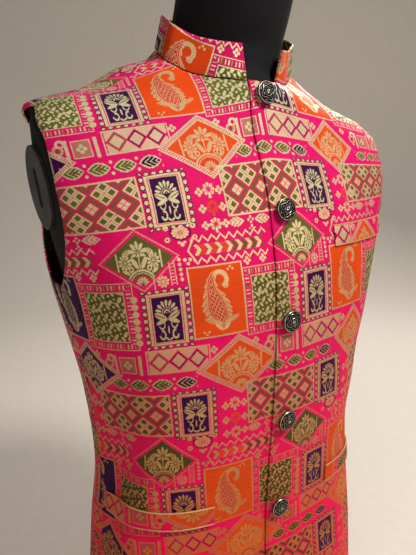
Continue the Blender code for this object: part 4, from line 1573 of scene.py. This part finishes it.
def brocade_inks(x, y):
    """How much of each colour of thread shows at a place on the cloth."""
    gold, orange, olive, red, zone = diamonds(x, y)
    inks = {"gold": gold, "orange": orange, "olive": olive, "red": red}
    gold, inks["violet"] = violet_panels(x, y)
    lay_over(inks, ("gold",), (gold,))
    lay_over(inks, ("gold", "violet", "olive"), [share * (1.0 - zone) for share in bars(x, y)])
    gold, olive, seams = lattice(x, y)
    lay_over(inks, ("gold", "olive"), (gold, olive))
    lay_over(inks, ("gold", "orange", "red"), paisley(x, y))
    changed = above(panel_column(x), 1.5)
    lay_over(inks, ("violet",), (inks["orange"] * changed,))
    for name in ("orange", "red"):
        inks[name] = inks[name] * (1.0 - changed)
    for motif, names in FREE_MOTIFS:
        lay_over(inks, names, motif(x, y))
    gold, dusky = small_square(x, y)
    lay_over(inks, ("gold", "red"), (gold, most(dusky, seams * 0.6)))
    return [inks[name] for name in ("gold", "orange", "olive", "violet", "red")]


# %% [markdown]
# Now the cloth itself. The threads' colours are laid over a magenta ground in turn, gold
# last. The upper half of the jacket is seen in paler light than the lower, and that light
# is painted into the cloth: magenta, olive and gold each have a tone in pale light and one
# in warm light, mixed by height, and the lower olive and gold are darker as painted shade.
# Gold thread is partly metal and smoother than silk, so the same mask also drives Metallic
# and Roughness. A slight waver makes the outlines as uneven as woven ones, and a fine
# weave of warp and weft gives the bump. Sheen is the same all over, so it is set on the
# shader itself.

# %% Brocade
# Painted light: each colour with two tones has one tone for the pale light on the upper jacket and one
# for the warm light lower down. The lower olive and gold are darker, as painted shade.
MAGENTA_PAINTED_PALE_LIGHT = (0.67, 0.002, 0.130)
MAGENTA_PAINTED_WARM_LIGHT = (0.84, 0.002, 0.078)
ORANGE = (0.70, 0.060, 0.004)
GOLD_ON_ORANGE = (0.68, 0.30, 0.10)
OLIVE_PAINTED_PALE_LIGHT = (0.120, 0.118, 0.018)
OLIVE_PAINTED_WARM_SHADE = (0.050, 0.045, 0.006)
VIOLET = (0.036, 0.0004, 0.046)
DUSKY_RED = (0.42, 0.022, 0.050)
GOLD_PAINTED_PALE_LIGHT = (0.66, 0.61, 0.36)
GOLD_PAINTED_WARM_SHADE = (0.56, 0.17, 0.030)
PATTERN_UP = 975.0
PATTERN_FOOT = 569.2
PATTERN_ACROSS = 1000.0
PATTERN_SIDE = 116.5
PATTERN_TILT = 0.08
WARP_WAVES = 15700.0
WEFT_WAVES = 11200.0


def new_finish(name):
    """A material with an empty principled shader, and its tree made the current one."""
    made = bpy.data.materials.new(name)
    made.use_nodes = True
    Wire.tree = made.node_tree
    return made, made.node_tree.nodes["Principled BSDF"]


def mix_colour(under, over, share):
    """One colour laid over another."""
    node = add_node("ShaderNodeMix", data_type="RGBA")
    feed(node.inputs[0], share)
    for socket, colour in ((node.inputs[6], under), (node.inputs[7], over)):
        if isinstance(colour, tuple):
            socket.default_value = (*colour, 1.0)
        else:
            Wire.tree.links.new(colour.socket, socket)
    return Wire(node.outputs[2])


def set_inputs(node, values):
    """Sets constants on the inputs of a node, by their names."""
    for name, value in values.items():
        node.inputs[name].default_value = value


def noise_node(vector, scale, detail):
    """A noise texture's node, fed with a place."""
    node = add_node("ShaderNodeTexNoise")
    set_inputs(node, {"Scale": scale, "Detail": detail})
    Wire.tree.links.new(vector, node.inputs["Vector"])
    return node


def noise(vector, scale, detail=2.0):
    """A noise, as a wire that is near 0.5 on the whole."""
    return Wire(noise_node(vector, scale, detail).outputs[0])


def weft_place(vector, across):
    """The same place squeezed across, which draws a noise out along the weft."""
    node = add_node("ShaderNodeMapping")
    node.inputs["Scale"].default_value = (across, 1.0, 1.0)
    Wire.tree.links.new(vector, node.inputs["Vector"])
    return node.outputs[0]


def object_place():
    """The place on the object itself, which has the frame's axes."""
    return add_node("ShaderNodeTexCoord").outputs["Object"]


def axes_of(vector):
    """The three numbers of a place, each as a wire."""
    node = add_node("ShaderNodeSeparateXYZ")
    Wire.tree.links.new(vector, node.inputs[0])
    return [Wire(axis) for axis in node.outputs]


def bump_to(shader, height, strength, distance):
    """Puts a bump on a shader."""
    node = add_node("ShaderNodeBump")
    feed(node.inputs["Strength"], strength)
    node.inputs["Distance"].default_value = distance
    feed(node.inputs["Height"], height)
    Wire.tree.links.new(node.outputs[0], shader.inputs["Normal"])


def wavering(flat):
    """The place on the flat cloth, moved to and fro by about a thread."""
    waver = noise_node(flat, 620.0, 1.0)
    shift = add_node("ShaderNodeVectorMath", operation="MULTIPLY_ADD")
    Wire.tree.links.new(waver.outputs["Color"], shift.inputs[0])
    shift.inputs[1].default_value = (0.0011, 0.0008, 0.0)
    Wire.tree.links.new(flat, shift.inputs[2])
    return axes_of(shift.outputs[0])


def make_brocade():
    made, shader = new_finish("brocade")
    flat = add_node("ShaderNodeUVMap", uv_map=UV_NAME).outputs[0]
    cloth_across, cloth_up, _none = wavering(flat)
    up = cloth_up * PATTERN_UP - PATTERN_FOOT
    across = cloth_across * PATTERN_ACROSS + up * PATTERN_TILT + PATTERN_SIDE
    gold, orange, olive, violet, red = brocade_inks(across, up)
    # Painted light and shade by height: 0 low on the jacket, where the colours take their warm, shaded
    # tones, and 1 high up, in pale light.
    height = math_node("MULTIPLY_ADD", axes_of(object_place())[2], 2.2, -0.45, clamp=True)
    fleck = noise(flat, 560.0, 2.0)
    gold = gold * math_node("MULTIPLY_ADD", fleck, 2.3, 0.02, clamp=True)
    patches = noise(flat, 26.0, 3.0)
    threads = noise(flat, 1400.0, 1.0)
    streaks = noise(weft_place(flat, 0.07), 900.0, 2.0)
    colour = mix_colour(MAGENTA_PAINTED_WARM_LIGHT, MAGENTA_PAINTED_PALE_LIGHT, height)
    colour = mix_colour(colour, ORANGE, orange)
    colour = mix_colour(colour, mix_colour(OLIVE_PAINTED_WARM_SHADE, OLIVE_PAINTED_PALE_LIGHT, height), olive)
    colour = mix_colour(colour, VIOLET, violet)
    colour = mix_colour(colour, DUSKY_RED, red)
    thread_gold = mix_colour(GOLD_PAINTED_WARM_SHADE, GOLD_PAINTED_PALE_LIGHT, height)
    thread_gold = mix_colour(thread_gold, GOLD_ON_ORANGE, orange * 0.45)
    colour = mix_colour(colour, thread_gold, gold)
    shade = add_node("ShaderNodeHueSaturation")
    feed(shade.inputs["Value"], patches * 0.30 + threads * 0.35 + streaks * 0.40 + 0.47)
    feed(shade.inputs["Color"], colour)
    Wire.tree.links.new(shade.outputs[0], shader.inputs["Base Color"])
    feed(shader.inputs["Metallic"], gold * 0.45)
    feed(shader.inputs["Roughness"], 0.62 - gold * 0.20 + (threads - 0.5) * 0.2)
    weave_across, weave_up, _none = axes_of(flat)
    warp = sine(weave_across * WARP_WAVES)
    weft = sine(weave_up * WEFT_WAVES + warp * 1.2)
    creases = noise(weft_place(flat, 0.4), 55.0, 2.0)
    relief = (weft * 0.5 + warp * 0.3 + threads) * 0.15 + creases * 2.2
    bump_to(shader, relief, gold * 0.2 + 0.5, 0.0012)
    set_inputs(shader, {
        "Specular IOR Level": 0.11,
        "Sheen Weight": 0.02,
        "Sheen Roughness": 0.35,
        "Sheen Tint": (1.0, 0.75, 0.72, 1.0),
    })
    return made


brocade = make_brocade()
for name, piece in CLOTH.items():
    piece.data.materials.append(brocade)
print("brocade nodes:", len(brocade.node_tree.nodes))

# %% [markdown]
# The other finishes read Object coordinates, because nothing on them follows the
# cloth. The piping is twisted gold thread: slanting waves stand for its twist, and the
# darker half of each wave is painted shade in the grooves between its plies. The buttons
# are cast and made to look old: the relief attribute darkens their hollows, and patches
# of warm gold on the ridges are a painted glint of reflected light.

# %% Piping and button metal
TWIST = 4200.0


def make_piping():
    made, shader = new_finish("gold_piping")
    place = object_place()
    x, y, z = axes_of(place)
    twist = sine((x + y) * TWIST + z * (TWIST * 1.3)) * 0.5 + 0.5
    fleck = noise(place, 260.0)
    # Painted shade: the colour darkens where the twist wave is low, in the grooves of the cord.
    colour = mix_colour((0.40, 0.14, 0.045), (0.80, 0.52, 0.23), twist * 0.7 + fleck * 0.4)
    feed(shader.inputs["Base Color"], colour)
    feed(shader.inputs["Roughness"], 0.55 - twist * 0.15)
    shader.inputs["Metallic"].default_value = 0.35
    bump_to(shader, twist, 0.5, 0.0004)
    return made


def make_button_metal():
    made, shader = new_finish("button_metal")
    place = object_place()
    carving = Wire(add_node("ShaderNodeAttribute", attribute_name="relief").outputs["Fac"])
    fleck = noise(place, 420.0, 3.0)
    patch = noise(place, 90.0, 2.0)
    worn = cover(0.62 - carving - (fleck - 0.5) * 0.5, 0.5)
    colour = mix_colour((0.012, 0.011, 0.010), (0.42, 0.40, 0.36), worn)
    # Painted highlight: patches of warm gold on the highest ridges stand for a glint of reflected
    # light.
    painted_glint = cover(1.42 - carving - patch, 0.16)
    colour = mix_colour(colour, (0.62, 0.44, 0.20), painted_glint * 0.8)
    feed(shader.inputs["Base Color"], colour)
    feed(shader.inputs["Roughness"], 0.62 - worn * 0.34 + (fleck - 0.5) * 0.12)
    shader.inputs["Metallic"].default_value = 1.0
    bump_to(shader, fleck, 0.25, 0.0003)
    return made


piping_finish = make_piping()
button_metal = make_button_metal()
for piece in PIPINGS:
    piece.data.materials.append(piping_finish)
for piece in buttons:
    piece.data.materials.append(button_metal)
print("finishes:", piping_finish.name, button_metal.name)

# %% [markdown]
# The dress form is covered in matte black jersey. Its knit is too fine to see from the
# camera, but it breaks up the light, so it is a fine bump with a little dust and wear.
# The arm plates are satin grey paint on metal, a little rubbed. The floor is paper.

# %% Form cover, plates and floor
def knit_height(place):
    """A fine knit as seen on a body: waves round it and up it."""
    x, y, z = axes_of(place)
    rows = sine(z * 7800.0)
    ribs = sine((x + y) * 5200.0 + rows * 0.8)
    return rows * 0.5 + ribs * 0.5


def make_cover():
    made, shader = new_finish("form_cover")
    place = object_place()
    dust = noise(place, 34.0, 5.0)
    lint = cover(0.74 - noise(place, 900.0, 1.0), 0.06)
    knit = knit_height(place)
    colour = mix_colour((0.0035, 0.0035, 0.0042), (0.0095, 0.0095, 0.011), dust + knit * 0.12)
    colour = mix_colour(colour, (0.05, 0.05, 0.05), lint * 0.2)
    feed(shader.inputs["Base Color"], colour)
    feed(shader.inputs["Roughness"], 0.78 + (dust - 0.5) * 0.2)
    bump_to(shader, knit + dust, 0.30, 0.0002)
    set_inputs(shader, {"Specular IOR Level": 0.14, "Sheen Weight": 0.02, "Sheen Roughness": 0.5})
    return made


def make_plate_metal():
    made, shader = new_finish("plate_metal")
    place = object_place()
    smear = noise(place, 45.0, 4.0)
    grain = noise(place, 700.0, 2.0)
    colour = mix_colour((0.030, 0.030, 0.033), (0.085, 0.085, 0.090), smear)
    rub = cover(0.66 - smear * 0.7 - grain * 0.45, 0.06)
    colour = mix_colour(colour, (0.18, 0.18, 0.18), rub * 0.35)
    feed(shader.inputs["Base Color"], colour)
    feed(shader.inputs["Roughness"], 0.40 + smear * 0.18)
    shader.inputs["Metallic"].default_value = 0.55
    bump_to(shader, grain, 0.12, 0.0003)
    return made


def make_paper():
    made, shader = new_finish("floor_paper")
    place = object_place()
    fibres = noise(place, 60.0, 6.0)
    colour = mix_colour((0.62, 0.57, 0.50), (0.70, 0.65, 0.58), fibres)
    feed(shader.inputs["Base Color"], colour)
    shader.inputs["Roughness"].default_value = 0.9
    bump_to(shader, fibres, 0.1, 0.001)
    return made


def dress_node(name, finish):
    """Gives a CAD node's object a finish in all its material slots."""
    shown = NODES[name]
    if not shown.material_slots:
        shown.data.materials.append(finish)
    for place in shown.material_slots:
        place.material = finish


form_cover = make_cover()
plate_metal = make_plate_metal()
torso.data.materials.append(form_cover)
dress_node("form_neck_cap", form_cover)
for arm in ("right", "left"):
    dress_node("arm_plate_" + arm, plate_metal)
floor.data.materials.append(make_paper())
print("materials:", [material.name for material in bpy.data.materials])

# %% [markdown]
# Tailors fasten the edges of such a jacket with a row of tiny pick stitches just inside
# them. A few hundred equal stitches along a path is work for Geometry Nodes: the tree
# turns the edge lines into curves, puts a short rod at even steps along them, turns
# each rod along its curve and makes them all real. The stitch pitch, length and
# thickness are inputs of the tree.

# %% Edge stitches
STITCH_INSET = 0.5
STITCH_RISE = 0.00012
STITCH_SIZES = {"Pitch": 0.0046, "Length": 0.0020, "Thickness": 0.00024}


def edge_line(places, rows, columns, out):
    """Points just inside an edge, halfway between its last two columns of points."""
    turns, heights = places
    first, second = columns
    turn = turns[rows, first] * (1 - STITCH_INSET) + turns[rows, second] * STITCH_INSET
    height = heights[rows, first] * (1 - STITCH_INSET) + heights[rows, second] * STITCH_INSET
    lift = out(turn, height) if out else np.zeros_like(turn)
    return surface_point(turn, height, lift + STITCH_RISE)


def stitch_lines():
    armhole = slice(int(UNDERARM_ROW / ROW_STEP) + 2, int(TIP_ROW / ROW_STEP) - 1)
    placket = slice(3, int(NECK_ROW / ROW_STEP) - 2)
    ends = np.linspace(COLLAR_LEFT_END + 8, 360 + COLLAR_RIGHT_END - 8, 160)
    signed = np.where(ends > 180, ends - 360, ends)
    return [
        edge_line(left_places, placket, (0, 1), lap_rise),
        edge_line(left_places, armhole, (-1, -2), lap_rise),
        edge_line(right_places, armhole, (-1, -2), None),
        edge_line(back_places, armhole, (0, 1), None),
        edge_line(back_places, armhole, (-1, -2), None),
        collar_point(signed, 0.90, STITCH_RISE),
    ]


def make_stitch_tree(finish):
    """Rods at even steps along the edges of a mesh of lines."""
    tree = bpy.data.node_groups.new("edge_stitches", "GeometryNodeTree")
    Wire.tree = tree
    tree.interface.new_socket("Geometry", in_out="INPUT", socket_type="NodeSocketGeometry")
    tree.interface.new_socket("Geometry", in_out="OUTPUT", socket_type="NodeSocketGeometry")
    for name, value in STITCH_SIZES.items():
        size = tree.interface.new_socket(name, in_out="INPUT", socket_type="NodeSocketFloat")
        size.default_value = value
    given = add_node("NodeGroupInput")
    result = add_node("NodeGroupOutput")
    curves = add_node("GeometryNodeMeshToCurve")
    steps = add_node("GeometryNodeResampleCurve", mode="LENGTH")
    rod = add_node("GeometryNodeMeshCylinder")
    rod.inputs["Vertices"].default_value = 6
    ahead = add_node("GeometryNodeInputTangent")
    turn = add_node("FunctionNodeAlignRotationToVector", axis="Z")
    place = add_node("GeometryNodeInstanceOnPoints")
    real = add_node("GeometryNodeRealizeInstances")
    coat = add_node("GeometryNodeSetMaterial")
    coat.inputs["Material"].default_value = finish
    join = tree.links.new
    join(given.outputs["Geometry"], curves.inputs[0])
    join(curves.outputs[0], steps.inputs["Curve"])
    join(given.outputs["Pitch"], steps.inputs["Length"])
    join(given.outputs["Thickness"], rod.inputs["Radius"])
    join(given.outputs["Length"], rod.inputs["Depth"])
    join(ahead.outputs[0], turn.inputs["Vector"])
    join(steps.outputs[0], place.inputs["Points"])
    join(rod.outputs["Mesh"], place.inputs["Instance"])
    join(turn.outputs[0], place.inputs["Rotation"])
    join(place.outputs[0], real.inputs[0])
    join(real.outputs[0], coat.inputs["Geometry"])
    join(coat.outputs[0], result.inputs[0])
    return tree


def make_thread():
    made, shader = new_finish("edge_thread")
    place = object_place()
    shade = noise(place, 800.0)
    colour = mix_colour((0.30, 0.010, 0.050), (0.55, 0.025, 0.11), shade)
    feed(shader.inputs["Base Color"], colour)
    feed(shader.inputs["Roughness"], 0.45 + shade * 0.2)
    bump_to(shader, shade, 0.2, 0.0002)
    return made


def make_stitches():
    thread = make_thread()
    points = []
    edges = []
    for line in stitch_lines():
        first = len(points)
        points.extend(tuple(point) for point in line)
        edges.extend((first + i, first + i + 1) for i in range(len(line) - 1))
    mesh = bpy.data.meshes.new("edge_lines")
    mesh.from_pydata(points, edges, [])
    lines = bpy.data.objects.new("edge_lines", mesh)
    bpy.context.scene.collection.objects.link(lines)
    tree = make_stitch_tree(thread)
    modifier = lines.modifiers.new("stitches", "NODES")
    modifier.node_group = tree
    for item in tree.interface.items_tree:
        if item.in_out == "INPUT" and item.name in STITCH_SIZES:
            modifier[item.identifier] = STITCH_SIZES[item.name]
    graph = bpy.context.evaluated_depsgraph_get()
    plain = bpy.data.meshes.new_from_object(lines.evaluated_get(graph))
    lines.modifiers.remove(modifier)
    bpy.data.objects.remove(lines)
    plain.name = "edge_stitches"
    plain.materials.clear()
    plain.materials.append(thread)
    made = bpy.data.objects.new("edge_stitches", plain)
    bpy.context.scene.collection.objects.link(made)
    made.data.shade_smooth()
    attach(made, "root")
    return made


edge_stitches = make_stitches()
print("stitches:", len(edge_stitches.data.polygons) // 8, "rods")
